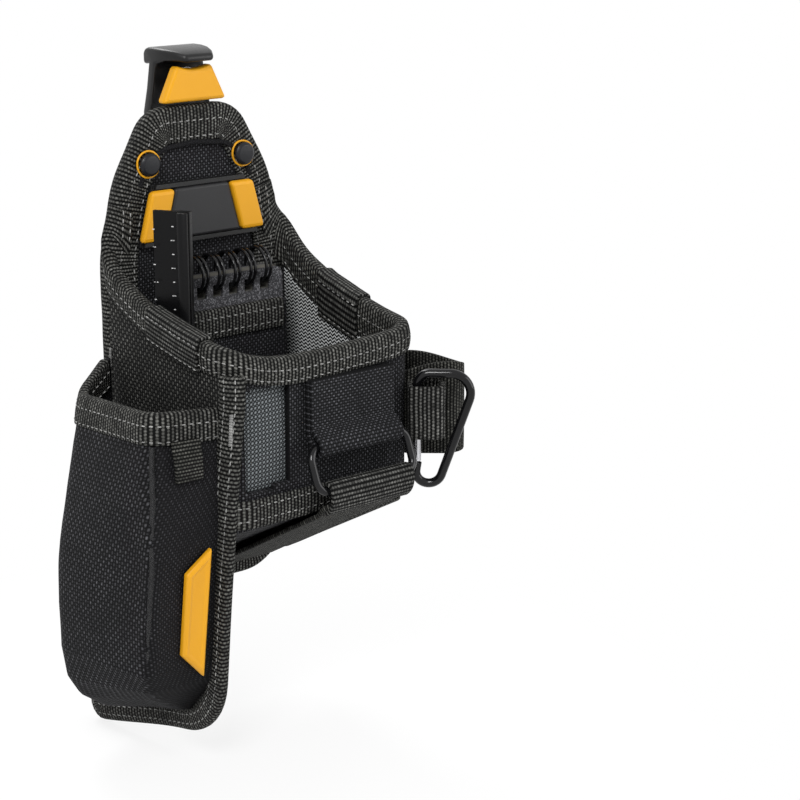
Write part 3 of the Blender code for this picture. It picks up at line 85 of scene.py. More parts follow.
def smoothShare(value):
    t = clampShare(value)
    return t * t * (3 - 2 * t)


def along(table, value):
    for (a, low), (b, high) in zip(table, table[1:]):
        if value <= b or (b, high) == table[-1]:
            return lerp(low, high, (value - a) / (b - a))


def rounded(corners, closed=False, turn=math.radians(9)):
    points = []
    count = len(corners)
    for i, (a, b, radius) in enumerate(corners):
        here = Vector((a, b))
        if radius == 0 or (not closed and i in (0, count - 1)):
            points.append(here)
            continue
        before = (Vector(corners[i - 1][:2]) - here).normalized()
        after = (Vector(corners[(i + 1) % count][:2]) - here).normalized()
        opening = before.angle(after)
        sweep = math.pi - opening
        middle = here + (before + after).normalized() * radius / math.sin(opening / 2)
        start = here + before * radius / math.tan(opening / 2) - middle
        side = 1 if before.x * after.y - before.y * after.x < 0 else -1
        pieces = max(3, math.ceil(sweep / turn))
        for k in range(pieces + 1):
            points.append(middle + Matrix.Rotation(side * sweep * k / pieces, 2) @ start)
    return points


def lengthsOf(points):
    total = [0.0]
    for a, b in zip(points, points[1:]):
        total.append(total[-1] + (b - a).length)
    return total


def evenly(points, spacing=None, count=None):  # the same polyline with equal steps
    runs = lengthsOf(points)
    count = count or max(1, round(runs[-1] / spacing))
    made = []
    k = 0
    for i in range(count + 1):
        want = runs[-1] * i / count
        while k < len(runs) - 2 and runs[k + 1] < want:
            k += 1
        span = runs[k + 1] - runs[k]
        made.append(points[k].lerp(points[k + 1], (want - runs[k]) / span if span else 0))
    return made


def sidesOf(points):  # left-hand normals of a flat polyline
    normals = []
    for i in range(len(points)):
        before = points[max(i - 1, 0)]
        after = points[min(i + 1, len(points) - 1)]
        run = (after - before).normalized()
        normals.append(Vector((-run.y, run.x)))
    return normals


# unevenness of each cloth or wire: how far it strays, and how finely
crumple = {"tape": (0.25 * mm, 90), "panel": (0.2 * mm, 60), "front": (0.35 * mm, 45),
           "side": (0.6 * mm, 40), "lining": (0.5 * mm, 40), "left": (0.5 * mm, 35),
           "tool": (1.1 * mm, 26), "seam": (0.35 * mm, 300), "sleeve": (0.4 * mm, 50),
           "strap": (0.3 * mm, 55), "band": (0.35 * mm, 70), "ring": (0.3 * mm, 160)}


def ripple(point, kind):
    size, scale = crumple[kind]
    return noise.noise(point * scale) * size


def deselectAll():
    if bpy.context.object and bpy.context.object.mode != "OBJECT":
        bpy.ops.object.mode_set(mode="OBJECT")
    bpy.ops.object.select_all(action="DESELECT")


def activate(piece):
    deselectAll()
    piece.select_set(True)
    bpy.context.view_layer.objects.active = piece


def applyModifier(piece, kind, **values):
    activate(piece)
    step = piece.modifiers.new(kind.lower(), kind)
    for key, value in values.items():
        setattr(step, key, value)
    bpy.ops.object.modifier_apply(modifier=step.name)


def place(piece, finish, body="pouch", nodes=()):
    piece.data.materials.clear()
    piece.data.materials.append(finish)
    if nodes:
        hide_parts(*nodes)
    if body:
        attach(piece, body)
    return piece


def newest(name):  # what an operator has just added
    piece = bpy.context.object
    piece.name = name
    piece.data.name = name
    return piece


def smoothBelow(angle=50):
    bpy.ops.object.shade_smooth_by_angle(angle=math.radians(angle))


def faceOut(piece, merge=0):  # normals outwards, after doubles are merged
    activate(piece)
    bpy.ops.object.mode_set(mode="EDIT")
    bpy.ops.mesh.select_all(action="SELECT")
    if merge:
        bpy.ops.mesh.remove_doubles(threshold=merge)
    bpy.ops.mesh.normals_make_consistent(inside=False)
    bpy.ops.object.mode_set(mode="OBJECT")


def gridPiece(name, cols, rows, spot):  # spot(col, row) gives a point and its cloth coordinates
    deselectAll()
    bpy.ops.mesh.primitive_grid_add(x_subdivisions=cols, y_subdivisions=rows, size=2)
    piece = newest(name)
    flat = {}
    for vert in piece.data.vertices:
        col = round((vert.co.x + 1) / 2 * cols)
        row = round((vert.co.y + 1) / 2 * rows)
        vert.co, flat[vert.index] = spot(col, row)
    cloth = piece.data.uv_layers[0]
    for loop in piece.data.loops:
        cloth.data[loop.index].uv = flat[loop.vertex_index]
    return piece


clothEdge = {"width": 0.3, "segments": 2, "limit": 55}


def thicken(piece, thickness):
    applyModifier(piece, "SOLIDIFY", thickness=thickness, offset=0)
    applyModifier(piece, "BEVEL", width=thickness * clothEdge["width"], segments=clothEdge["segments"],
                  limit_method="ANGLE", angle_limit=math.radians(clothEdge["limit"]))
    smoothBelow()
    return piece


def clothPiece(name, cols, rows, spot, thickness, finish, nodes, body="pouch"):
    return place(thicken(gridPiece(name, cols, rows, spot), thickness), finish, body, nodes)


def rodPiece(name, points, radius, closed=False, sides=5):
    deselectAll()
    curve = bpy.data.curves.new(name, "CURVE")
    curve.dimensions = "3D"
    curve.bevel_depth = radius
    curve.bevel_resolution = sides
    curve.use_fill_caps = not closed
    spline = curve.splines.new("POLY")
    spline.points.add(len(points) - 1)
    for point, spot in zip(spline.points, points):
        point.co = (*spot, 1)
    spline.use_cyclic_u = closed
    piece = bpy.data.objects.new(name, curve)
    bpy.context.scene.collection.objects.link(piece)
    activate(piece)
    bpy.ops.object.convert(target="MESH")
    piece = bpy.context.object
    faceOut(piece, merge=mm / 200)
    smoothBelow()
    return piece


# hand modelling: start from a primitive, pick faces by place or normal, then push them about


def startPiece(name, add, centre=(0, 0, 0), scale=(1, 1, 1), **values):
    deselectAll()
    add(location=centre, **values)
    piece = newest(name)
    piece.scale = scale
    bpy.ops.object.transform_apply(location=True, rotation=True, scale=True)
    return piece


def startBlock(name, low, high):
    low, high = Vector(low), Vector(high)
    return startPiece(name, bpy.ops.mesh.primitive_cube_add, (low + high) / 2, high - low, size=1)


squarely = 0.9  # how squarely a face looks along an axis to be picked


def pick(piece, test):
    activate(piece)
    bpy.ops.object.mode_set(mode="EDIT")
    bpy.ops.mesh.select_mode(type="FACE")
    bpy.ops.mesh.select_all(action="DESELECT")
    held = bmesh.from_edit_mesh(piece.data)
    for face in held.faces:
        face.select = test(face.calc_center_median(), face.normal)
    bmesh.update_edit_mesh(piece.data)


def pickedMiddle(piece):
    held = bmesh.from_edit_mesh(piece.data)
    spots = [face.calc_center_median() for face in held.faces if face.select]
    return sum(spots, Vector()) / len(spots)


def pull(piece, move, size=None):  # extrude what is picked, then scale it about its own middle
    bpy.ops.mesh.extrude_region_move(TRANSFORM_OT_translate={"value": Vector(move) * mm})
    if size:
        bpy.ops.transform.resize(value=size, center_override=pickedMiddle(piece))


def finishSolid(piece, width, segments=3, limit=30, smooth=40):
    applyModifier(piece, "BEVEL", width=width, segments=segments, limit_method="ANGLE",
                  angle_limit=math.radians(limit), use_clamp_overlap=True)
    faceOut(piece, merge=mm / 500)
    smoothBelow(smooth)
    return piece


def sink(inset, move):  # inset what is picked, then move it
    bpy.ops.mesh.inset(thickness=inset)
    bpy.ops.transform.translate(value=move)


# node helpers for the materials


def addNode(tree, kind, **values):
    made = tree.nodes.new(kind)
    for key, value in values.items():
        setattr(made, key, value)
    return made


def feed(tree, socket, value):
    if isinstance(value, bpy.types.NodeSocket):
        tree.links.new(value, socket)
    else:
        socket.default_value = value


def calc(tree, operation, a, b=0.0, c=0.0):
    made = addNode(tree, "ShaderNodeMath", operation=operation)
    for socket, value in zip(made.inputs, (a, b, c)):
        feed(tree, socket, value)
    return made.outputs[0]


def times(tree, a, b):
    return calc(tree, "MULTIPLY", a, b)


def axesOf(tree, vector):
    split = addNode(tree, "ShaderNodeSeparateXYZ")
    feed(tree, split.inputs[0], vector)
    return split.outputs[0], split.outputs[1]


def blendColour(tree, share, low, high):
    made = addNode(tree, "ShaderNodeMix", data_type="RGBA")
    feed(tree, made.inputs["Factor"], share)
    for socket, value in ((made.inputs[6], low), (made.inputs[7], high)):
        feed(tree, socket, value if isinstance(value, bpy.types.NodeSocket) else (*value, 1))
    return made.outputs[2]


def spread(tree, value, low, high, outLow=0.0, outHigh=1.0):
    made = addNode(tree, "ShaderNodeMapRange")
    for socket, amount in zip(made.inputs, (value, low, high, outLow, outHigh)):
        feed(tree, socket, amount)
    return made.outputs[0]


def newGroup(name, inputs, outputs):
    group = bpy.data.node_groups.new(name, "ShaderNodeTree")
    for label, kind in inputs:
        group.interface.new_socket(label, in_out="INPUT", socket_type=kind)
    for label, kind in outputs:
        group.interface.new_socket(label, in_out="OUTPUT", socket_type=kind)
    return group, group.nodes.new("NodeGroupInput"), group.nodes.new("NodeGroupOutput")


def useGroup(tree, group, **values):
    made = addNode(tree, "ShaderNodeGroup", node_tree=group)
    for key, value in values.items():
        feed(tree, made.inputs[key], value)
    return made.outputs


floatKind = "NodeSocketFloat"
vectorKind = "NodeSocketVector"


def cellNoise(group, a, b):  # one value for each yarn crossing
    joined = addNode(group, "ShaderNodeCombineXYZ")
    feed(group, joined.inputs[0], a)
    feed(group, joined.inputs[1], b)
    tex = addNode(group, "ShaderNodeTexWhiteNoise", noise_dimensions="2D")
    feed(group, tex.inputs["Vector"], joined.outputs[0])
    return tex.outputs["Value"]


def arch(group, value):
    return calc(group, "SINE", times(group, calc(group, "FRACT", value), math.pi))


# plain weave of round yarns, in cloth coordinates; its colour share is a painted highlight on the yarn
# crests, varied at random from yarn to yarn
yarn = {"rise": 0.6, "base": 0.4, "weft": 0.5, "pale": (0.3, 0.95), "mixed": (0.5, 1.0)}


def makeWeave():
    group, given, result = newGroup(
        "yarnWeave", [("Vector", vectorKind), ("Pitch", floatKind)],
        [("Height", floatKind), ("CrestHighlightAndTone", floatKind)])
    scaled = addNode(group, "ShaderNodeVectorMath", operation="SCALE")
    feed(group, scaled.inputs[0], given.outputs["Vector"])
    feed(group, scaled.inputs["Scale"], calc(group, "DIVIDE", 1.0, given.outputs["Pitch"]))
    u, v = axesOf(group, scaled.outputs[0])
    floorU, floorV = calc(group, "FLOOR", u), calc(group, "FLOOR", v)
    over = calc(group, "FLOORED_MODULO", calc(group, "ADD", floorU, floorV), 2.0)
    under = calc(group, "SUBTRACT", 1.0, over)
    archU, archV = arch(group, u), arch(group, v)
    warp = times(group, archU, calc(group, "MULTIPLY_ADD", archV, yarn["rise"], yarn["base"]))
    weft = times(group, archV, calc(group, "MULTIPLY_ADD", archU, yarn["rise"], yarn["base"]))
    height = calc(group, "ADD", times(group, warp, over),
                  times(group, times(group, weft, yarn["weft"]), under))
    mixed = spread(group, cellNoise(group, floorU, floorV), 0, 1, *yarn["mixed"])
    feed(group, result.inputs["Height"], height)
    # painted highlight on the raised yarns, times a random tone for each yarn
    feed(group, result.inputs["CrestHighlightAndTone"], times(group, spread(group, height, *yarn["pale"]), mixed))
    return group


# cross ribs of tape and webbing, with pips of yarn along each rib; its colour share is a painted highlight
# on the rib crests, varied at random from pip to pip
rib = {"power": 0.9, "rise": 0.4, "base": 0.6, "shift": 0.5, "pale": (0.5, 1.0), "mixed": (0.4, 1.0)}


def makeRibs():
    group, given, result = newGroup(
        "crossRibs", [("Vector", vectorKind), ("Pitch", floatKind), ("Grain", floatKind)],
        [("Height", floatKind), ("CrestHighlightAndTone", floatKind)])
    alongRun, acrossRun = axesOf(group, given.outputs["Vector"])
    u = calc(group, "DIVIDE", alongRun, given.outputs["Pitch"])
    floorU = calc(group, "FLOOR", u)
    v = calc(group, "ADD", calc(group, "DIVIDE", acrossRun, given.outputs["Grain"]),
             times(group, floorU, rib["shift"]))
    crest = calc(group, "POWER", arch(group, u), rib["power"])
    height = times(group, crest, calc(group, "MULTIPLY_ADD", arch(group, v), rib["rise"], rib["base"]))
    mixed = spread(group, cellNoise(group, floorU, calc(group, "FLOOR", v)), 0, 1, *rib["mixed"])
    feed(group, result.inputs["Height"], height)
    # painted highlight on the rib crests, times a random tone for each pip
    feed(group, result.inputs["CrestHighlightAndTone"], times(group, spread(group, height, *rib["pale"]), mixed))
    return group


def makeWear():  # cloudy variation and fine grain on solid surfaces
    group, given, result = newGroup(
        "surfaceWear", [("Vector", vectorKind), ("Cloud", floatKind), ("Grain", floatKind)],
        [("Cloudy", floatKind), ("Grainy", floatKind)])
    for label, size, detail in (("Cloudy", "Cloud", 4.0), ("Grainy", "Grain", 2.0)):
        tex = addNode(group, "ShaderNodeTexNoise")
        feed(group, tex.inputs["Vector"], given.outputs["Vector"])
        feed(group, tex.inputs["Scale"], given.outputs[size])
        feed(group, tex.inputs["Detail"], detail)
        feed(group, result.inputs[label], tex.outputs[0])
    return group


weaveGroup = makeWeave()
ribGroup = makeRibs()
wearGroup = makeWear()


def startMaterial(name, roughness, metallic=0.0, **sockets):
    made = bpy.data.materials.new(name)
    made.use_nodes = True
    tree = made.node_tree
    shader = tree.nodes["Principled BSDF"]
    shader.inputs["Roughness"].default_value = roughness
    shader.inputs["Metallic"].default_value = metallic
    for key, value in sockets.items():
        shader.inputs[key.replace("_", " ")].default_value = value
    return made, tree, shader


def bumpInto(tree, shader, height, strength, distance):
    bump = addNode(tree, "ShaderNodeBump")
    bump.inputs["Strength"].default_value = strength
    bump.inputs["Distance"].default_value = distance
    feed(tree, bump.inputs["Height"], height)
    feed(tree, shader.inputs["Normal"], bump.outputs[0])


def clothCoords(tree):
    return addNode(tree, "ShaderNodeTexCoord").outputs["UV"]


def solidCoords(tree):
    return addNode(tree, "ShaderNodeTexCoord").outputs["Object"]


def paint(tree, shader, share, dark, light):
    feed(tree, shader.inputs["Base Color"], blendColour(tree, share, dark, light))


# dark cloth with a painted highlight where the yarns stand up, varied at random and by noise
clothLook = {"rough": 0.8, "specular": 0.12, "grain": 1400.0, "grainy": (0.3, 0.7, 0.3, 1.0),
             "cloudy": (0.3, 0.7, 0.65, 1.15), "bump": 0.8}


def clothMaterial(name, group, sizes, dark, light, depth, cloud):
    made, tree, shader = startMaterial(name, clothLook["rough"], Specular_IOR_Level=clothLook["specular"])
    coords = clothCoords(tree)
    yarns = useGroup(tree, group, Vector=coords, **sizes)
    wear = useGroup(tree, wearGroup, Vector=coords, Cloud=cloud, Grain=clothLook["grain"])
    # share: the painted crest highlight, broken up by grain and cloud noise
    share = times(tree, yarns["CrestHighlightAndTone"], spread(tree, wear["Grainy"], *clothLook["grainy"]))
    share = times(tree, share, spread(tree, wear["Cloudy"], *clothLook["cloudy"]))
    paint(tree, shader, share, dark, light)
    bumpInto(tree, shader, yarns["Height"], clothLook["bump"], depth)
    return made


def nylonMaterial(name, pitch, dark, light, depth=0.00035):
    return clothMaterial(name, weaveGroup, {"Pitch": pitch}, dark, light, depth, cloud=60.0)


def tapeMaterial(name, pitch, grain, dark, light, depth=0.0006):
    return clothMaterial(name, ribGroup, {"Pitch": pitch, "Grain": grain}, dark, light, depth, cloud=90.0)


plasticLook = {"cloud": 35.0, "grain": 1500.0, "cloudy": (0.35, 0.75), "grainy": (0.3, 0.7), "dull": 1.15,
               "shiny": 0.85, "bump": 0.35, "depth": 0.00006}


def plasticMaterial(name, colour, deep, roughness, **sockets):
    made, tree, shader = startMaterial(name, roughness, **sockets)
    wear = useGroup(tree, wearGroup, Vector=solidCoords(tree), Cloud=plasticLook["cloud"],
                    Grain=plasticLook["grain"])
    paint(tree, shader, spread(tree, wear["Cloudy"], *plasticLook["cloudy"]), colour, deep)
    feed(tree, shader.inputs["Roughness"],
         spread(tree, wear["Grainy"], *plasticLook["grainy"], roughness * plasticLook["shiny"],
                roughness * plasticLook["dull"]))
    bumpInto(tree, shader, wear["Grainy"], plasticLook["bump"], plasticLook["depth"])
    return made


metalLook = {"cloud": 80.0, "grain": 900.0, "cloudy": (0.4, 0.75), "grainy": (0.3, 0.7), "dull": 1.3,
             "shiny": 0.8, "lighter": 1.35, "lift": 0.004}


def metalMaterial(name, colour, roughness, metallic, **sockets):
    made, tree, shader = startMaterial(name, roughness, metallic, **sockets)
    wear = useGroup(tree, wearGroup, Vector=solidCoords(tree), Cloud=metalLook["cloud"],
                    Grain=metalLook["grain"])
    lighter = tuple(min(1.0, c * metalLook["lighter"] + metalLook["lift"]) for c in colour)
    paint(tree, shader, spread(tree, wear["Cloudy"], *metalLook["cloudy"]), colour, lighter)
    feed(tree, shader.inputs["Roughness"],
         spread(tree, wear["Grainy"], *metalLook["grainy"], roughness * metalLook["shiny"],
                roughness * metalLook["dull"]))
    return made


# open knitted mesh, dark holes in grey yarn
meshLook = {"pitch": 0.0011, "turn": math.radians(45), "open": (0.25, 0.7), "depth": 0.0004, "bump": 0.9,
            "dark": (0.012, 0.0135, 0.0145), "light": (0.19, 0.207, 0.216)}


def meshMaterial():
    made, tree, shader = startMaterial("greyMesh", 0.8, Specular_IOR_Level=0.15)
    turned = addNode(tree, "ShaderNodeMapping")
    turned.inputs["Rotation"].default_value = (0, 0, meshLook["turn"])
    feed(tree, turned.inputs["Vector"], clothCoords(tree))
    weave = useGroup(tree, weaveGroup, Vector=turned.outputs[0], Pitch=meshLook["pitch"])
    share = spread(tree, weave["Height"], *meshLook["open"])
    paint(tree, shader, share, meshLook["dark"], meshLook["light"])
    bumpInto(tree, shader, weave["Height"], meshLook["bump"], meshLook["depth"])
    return made


# zig-zag knit of the lining
knitLook = {"zig": 0.0013, "slope": 0.75, "row": 0.0014, "open": (0.55, 1.0), "depth": 0.0005, "bump": 0.9,
            "dark": (0.004, 0.0045, 0.005), "light": (0.7, 0.72, 0.72)}


def knitMaterial():
    made, tree, shader = startMaterial("greyKnit", 0.85, Specular_IOR_Level=0.12)
    u, v = axesOf(tree, clothCoords(tree))
    zig = times(tree, calc(tree, "PINGPONG", u, knitLook["zig"]), knitLook["slope"])
    rows = calc(tree, "DIVIDE", calc(tree, "ADD", v, zig), knitLook["row"])
    ridge = calc(tree, "ABSOLUTE", calc(tree, "SINE", times(tree, rows, math.pi)))
    paint(tree, shader, spread(tree, ridge, *knitLook["open"]), knitLook["dark"], knitLook["light"])
    bumpInto(tree, shader, ridge, knitLook["bump"], knitLook["depth"])
    return made


# grey card with pale flecks
cardLook = {"scale": 2100.0, "flecks": (0.5, 0.72), "bump": 0.3, "depth": 0.0001,
            "dark": (0.028, 0.028, 0.031), "light": (0.21, 0.21, 0.225)}


def cardMaterial():
    made, tree, shader = startMaterial("speckledCard", 0.75, Specular_IOR_Level=0.2)
    flecks = addNode(tree, "ShaderNodeTexNoise")
    feed(tree, flecks.inputs["Vector"], solidCoords(tree))
    flecks.inputs["Scale"].default_value = cardLook["scale"]
    share = spread(tree, flecks.outputs[0], *cardLook["flecks"])
    paint(tree, shader, share, cardLook["dark"], cardLook["light"])
    bumpInto(tree, shader, flecks.outputs[0], cardLook["bump"], cardLook["depth"])
    return made


# page edges as fine lines
paperLook = {"lines": 9000.0, "dark": (0.05, 0.048, 0.042), "light": (0.13, 0.126, 0.11)}


def paperMaterial():
    made, tree, shader = startMaterial("pageEdges", 0.9)
    forward = axesOf(tree, solidCoords(tree))[1]
    lines = calc(tree, "ABSOLUTE", calc(tree, "SINE", times(tree, forward, paperLook["lines"])))
    paint(tree, shader, lines, paperLook["dark"], paperLook["light"])
    return made


threadLook = {"cloud": 120.0, "grain": 3000.0, "cloudy": (0.3, 0.7),
              "dark": (0.117, 0.117, 0.117), "light": (0.39, 0.39, 0.377)}


def threadMaterial():
    made, tree, shader = startMaterial("greyThread", 0.7, Specular_IOR_Level=0.2)
    wear = useGroup(tree, wearGroup, Vector=solidCoords(tree), Cloud=threadLook["cloud"],
                    Grain=threadLook["grain"])
    share = spread(tree, wear["Cloudy"], *threadLook["cloudy"])
    paint(tree, shader, share, threadLook["dark"], threadLook["light"])
    return made


# each cloth's light colour is the painted highlight on its yarn or rib crests
nylon = nylonMaterial("ballisticNylon", pitch=0.00105, dark=(0.0035, 0.0035, 0.004),
                      light=(0.14, 0.142, 0.155))
pocketNylon = nylonMaterial("pocketNylon", pitch=0.0014, dark=(0.004, 0.004, 0.0045),
                            light=(0.13, 0.13, 0.14), depth=0.0006)
sideNylon = nylonMaterial("pocketSideNylon", pitch=0.001, dark=(0.004, 0.004, 0.0045),
                          light=(0.06, 0.06, 0.065))
lightNylon = nylonMaterial("wallNylon", pitch=0.0014, dark=(0.003, 0.003, 0.003),
                           light=(0.22, 0.22, 0.205))
tape = tapeMaterial("edgingTape", pitch=0.0015, grain=0.0012, dark=(0.0018, 0.0018, 0.0017),
                    light=(0.26, 0.26, 0.24))
webbing = tapeMaterial("webbing", pitch=0.0012, grain=0.0012, dark=(0.0025, 0.0025, 0.0023),
                       light=(0.18, 0.18, 0.16))
patchWebbing = tapeMaterial("patchWebbing", pitch=0.0015, grain=0.0013, dark=(0.0018, 0.0018, 0.0017),
                            light=(0.25, 0.25, 0.235))
roughNylon = nylonMaterial("seamNylon", pitch=0.0009, dark=(0.005, 0.005, 0.0055),
                           light=(0.42, 0.42, 0.43), depth=0.0005)
greyMesh = meshMaterial()
greyKnit = knitMaterial()
thread = threadMaterial()
yellow = plasticMaterial("yellowPlastic", (0.64, 0.3, 0.008), (0.6, 0.275, 0.007), roughness=0.4,
                         Specular_IOR_Level=0.25)
blackPlastic = plasticMaterial("blackPlastic", (0.006, 0.006, 0.0062), (0.009, 0.009, 0.0095),
                               roughness=0.36, Specular_IOR_Level=0.3)
rivetCap = plasticMaterial("rivetCap", (0.008, 0.0085, 0.0105), (0.012, 0.0125, 0.015),
                           roughness=0.34, Specular_IOR_Level=0.22)
greyPlastic = plasticMaterial("greyPlastic", (0.0144, 0.0144, 0.0155), (0.018, 0.018, 0.0191),
                              roughness=0.42, Specular_IOR_Level=0.3)
rulePlastic = plasticMaterial("rulePlastic", (0.003, 0.003, 0.0033), (0.0045, 0.0045, 0.005),
                              roughness=0.32, Specular_IOR_Level=0.14)
tickInk = plasticMaterial("tickInk", (0.55, 0.55, 0.55), (0.45, 0.45, 0.45), roughness=0.6)
blackSteel = metalMaterial("blackCoat", (0.003, 0.003, 0.0035), roughness=0.12, metallic=0.0,
                           Specular_IOR_Level=0.28)
brightSteel = metalMaterial("brightSteel", (0.55, 0.55, 0.57), roughness=0.28, metallic=1.0)
card = cardMaterial()
paper = paperMaterial()
print("materials ready")


# the pouch's own sizes, as in the frame
pouch = {
    "fit": 0.3 * mm, "tape": 1.2 * mm, "leg": 9.5 * mm, "fabric": 2.5 * mm, "webbing": 1.8 * mm,
    "panelFront": -16.1 * mm, "panelThick": 3.0 * mm, "depth": 75.5 * mm, "leftX": -40.0 * mm,
    "rightX": 43.5 * mm, "rimFront": -56.0 * mm, "frontBottom": -117.0 * mm, "backBottom": -156 * mm,
    "floorLift": 2 * mm, "leftRimRadius": 9.0 * mm, "rightRadius": 6.5 * mm,
}
fit = pouch["fit"]
fabric = pouch["fabric"]
edge = pouch["tape"] + fit
leg = pouch["leg"]
frontMid = pouch["depth"] - fabric / 2
wallBack = edge + fit


def front(distance):
    return pouch["panelFront"] - distance


# crest of the rim in mm: (forward, z) along the left and right sides, (x, z) along the front
rim = {
    "left": [(-5, -28.5), (2, -33.2), (10.6, -39), (24.7, -44.3), (35.6, -46.8), (50, -49.4), (66, -52)],
    "front": [(-38.8, -52), (-36, -53), (-31, -55.2), (-24, -57.3), (-16, -58.4), (-6, -58.8), (4.5, -58.6),
              (20, -57.9), (35, -56.9), (39, -56), (41, -55.3), (42.3, -54.5)],
    "right": [(-5, -26), (2.4, -31), (6.1, -34.4), (9.9, -37.4), (13.7, -39.5), (17.4, -41.2),
              (21.2, -42.8), (25, -44.2), (29, -45.8), (36, -47.6), (43, -49.5), (50, -51), (57.3, -52.5),
              (66, -53.9), (71, -54.5)],
    "leftTurn": 66 * mm, "rightTurn": 71 * mm, "rightRadius": 4.5 * mm, "innerLeg": 13 * mm,
    "outerLeg": 8.4 * mm, "lift": 0.1 * mm, "spacing": 2 * mm, "passes": 3, "bulge": 0.5 * mm,
    "stitchRows": (0.38, 0.84),
    # where the tape ends on the panel: x, forward, z and inner leg in mm
    "leftEnd": [(-35, -0.25, -14, 7), (-36.2, -0.25, -19.8, 8), (-37.6, -0.2, -25.8, 10),
                (-38.5, 0.6, -30.8, 12)],
    "rightEnd": [(41.4, 1.2, -30.4, 12.5), (40.2, 0.2, -27.8, 11), (37.6, -0.25, -24, 9.5),
                 (35, -0.25, -17.8, 8), (33.3, -0.25, -11.9, 7)],
    "endTop": 16, "endSpan": 17, "endLeanX": (-0.93, -0.15), "endLeanZ": (-0.37, -1),
}


def rimTop(x, forward):
    if forward > (rim["leftTurn"] if x < 0 else rim["rightTurn"]):
        return along(rim["front"], x / mm) * mm
    return along(rim["left" if x < 0 else "right"], forward / mm) * mm


def floorZ(forward):
    return lerp(pouch["backBottom"], pouch["frontBottom"] + pouch["floorLift"], forward / pouch["depth"])


# stitches: short threads sunk a little into the cloth
stitchBook = {"pitch": 2.9 * mm, "length": 1.9 * mm, "half": 0.24 * mm, "height": 0.22 * mm,
              "shares": (0.0, 0.25, 0.75, 1.0), "top": 0.4, "sunk": 0.5}
stitchRuns = {}


def stitchRow(body, points, normals, pitch=stitchBook["pitch"]):
    runs = lengthsOf(points)
    count = max(1, int(runs[-1] / pitch))
    verts, faces = stitchRuns.setdefault(body, ([], []))
    half, top, sunk = stitchBook["half"], stitchBook["top"], stitchBook["sunk"]
    for i in range(count):
        start = runs[-1] * (i + 0.5) / count - stitchBook["length"] / 2
        spots = []
        for share in stitchBook["shares"]:
            want = max(0.0, min(runs[-1], start + stitchBook["length"] * share))
            k = max(j for j in range(len(runs)) if runs[j] <= want or j == 0)
            k = min(k, len(runs) - 2)
            t = (want - runs[k]) / (runs[k + 1] - runs[k] or 1)
            spots.append((points[k].lerp(points[k + 1], t),
                          normals[k].lerp(normals[k + 1], t).normalized()))
        run = (spots[3][0] - spots[0][0]).normalized()
        first = len(verts)
        verts.append(spots[0][0] - spots[0][1] * half * sunk)
        for point, normal in spots[1:3]:  # two rings of five points, and a point at each end
            side = run.cross(normal).normalized() * half
            lift = normal * stitchBook["height"]
            verts.extend([point + side, point + lift + side * top, point + lift - side * top, point - side,
                          point - normal * half * sunk])
        last = len(verts)
        verts.append(spots[3][0] - spots[3][1] * half * sunk)
        for k in range(5):
            a = first + 1 + k
            b = first + 1 + (k + 1) % 5
            faces.extend([(first, b, a), (a, b, b + 5, a + 5), (last, a + 5, b + 5)])


def layStitches():
    for body, (verts, faces) in stitchRuns.items():
        name = "stitches_" + body
        mesh = bpy.data.meshes.new(name)
        mesh.from_pydata(verts, [], faces)
        piece = bpy.data.objects.new(name, mesh)
        bpy.context.scene.collection.objects.link(piece)
        faceOut(piece)
        bpy.ops.object.shade_smooth()
        place(piece, thread, body)


# tape folded over an edge: path points, the way into the cloth and the cloth's normal at each
tapeBook = {"bulge": 0.35 * mm, "stitchRows": (0.22, 0.74), "cells": 6, "fold": 0.7,
            "thick": 0.85 * pouch["tape"], "stitchLift": 0.42 * pouch["tape"]}


def tapeProfile(half, bulge, legLength):  # place across, depth (a share on the legs), which leg, and run
    top = fit + pouch["tape"] / 2
    cells = tapeBook["cells"]
    made = [(-half - bulge * math.sin(math.pi * t), t, -1) for t in steps(1, 0, cells)]
    made += [(-half * math.cos(a), -top * math.sin(a) ** tapeBook["fold"], 0)
             for a in steps(0, math.pi, cells)[1:-1]]
    made += [(half + bulge * math.sin(math.pi * t), t, 1) for t in steps(0, 1, cells)]
    return made, lengthsOf([Vector((a, depth * legLength if side else depth)) for a, depth, side in made])


def tapeReach(half, bulge, depth):  # how far out a stitch lies on the tape
    return half + bulge * math.sin(math.pi * depth) + tapeBook["stitchLift"]


def foldedTape(name, path, inward, across, core, nodes, rowDepths=tapeBook["stitchRows"], legLength=leg,
               finish=tape, bulge=tapeBook["bulge"], innerLegs=None, lengthwise=False):
    half = core / 2 + fit + pouch["tape"] / 2
    innerLegs = innerLegs or [legLength] * len(path)
    profile, widths = tapeProfile(half, bulge, legLength)
    runs = lengthsOf(path)

    def spot(col, row):
        a, depth, side = profile[row]
        depth *= {-1: innerLegs[col], 0: 1, 1: legLength}[side]
        point = path[col] + across[col] * a + inward[col] * depth
        point = point + across[col] * ripple(point, "tape") * (1 if a > 0 else -1)
        return point, (widths[row], runs[col]) if lengthwise else (runs[col], widths[row])

    piece = clothPiece(name, len(path) - 1, len(profile) - 1, spot, tapeBook["thick"], finish, nodes)
    for depth in rowDepths:
        for side in (1, -1):
            reach = tapeReach(half, bulge, depth)
            legs = [legLength] * len(path) if side > 0 else innerLegs
            row = [p + across[i] * reach * side + inward[i] * depth * legs[i] for i, p in enumerate(path)]
            stitchRow("pouch", row, [a * side for a in across])
    return piece


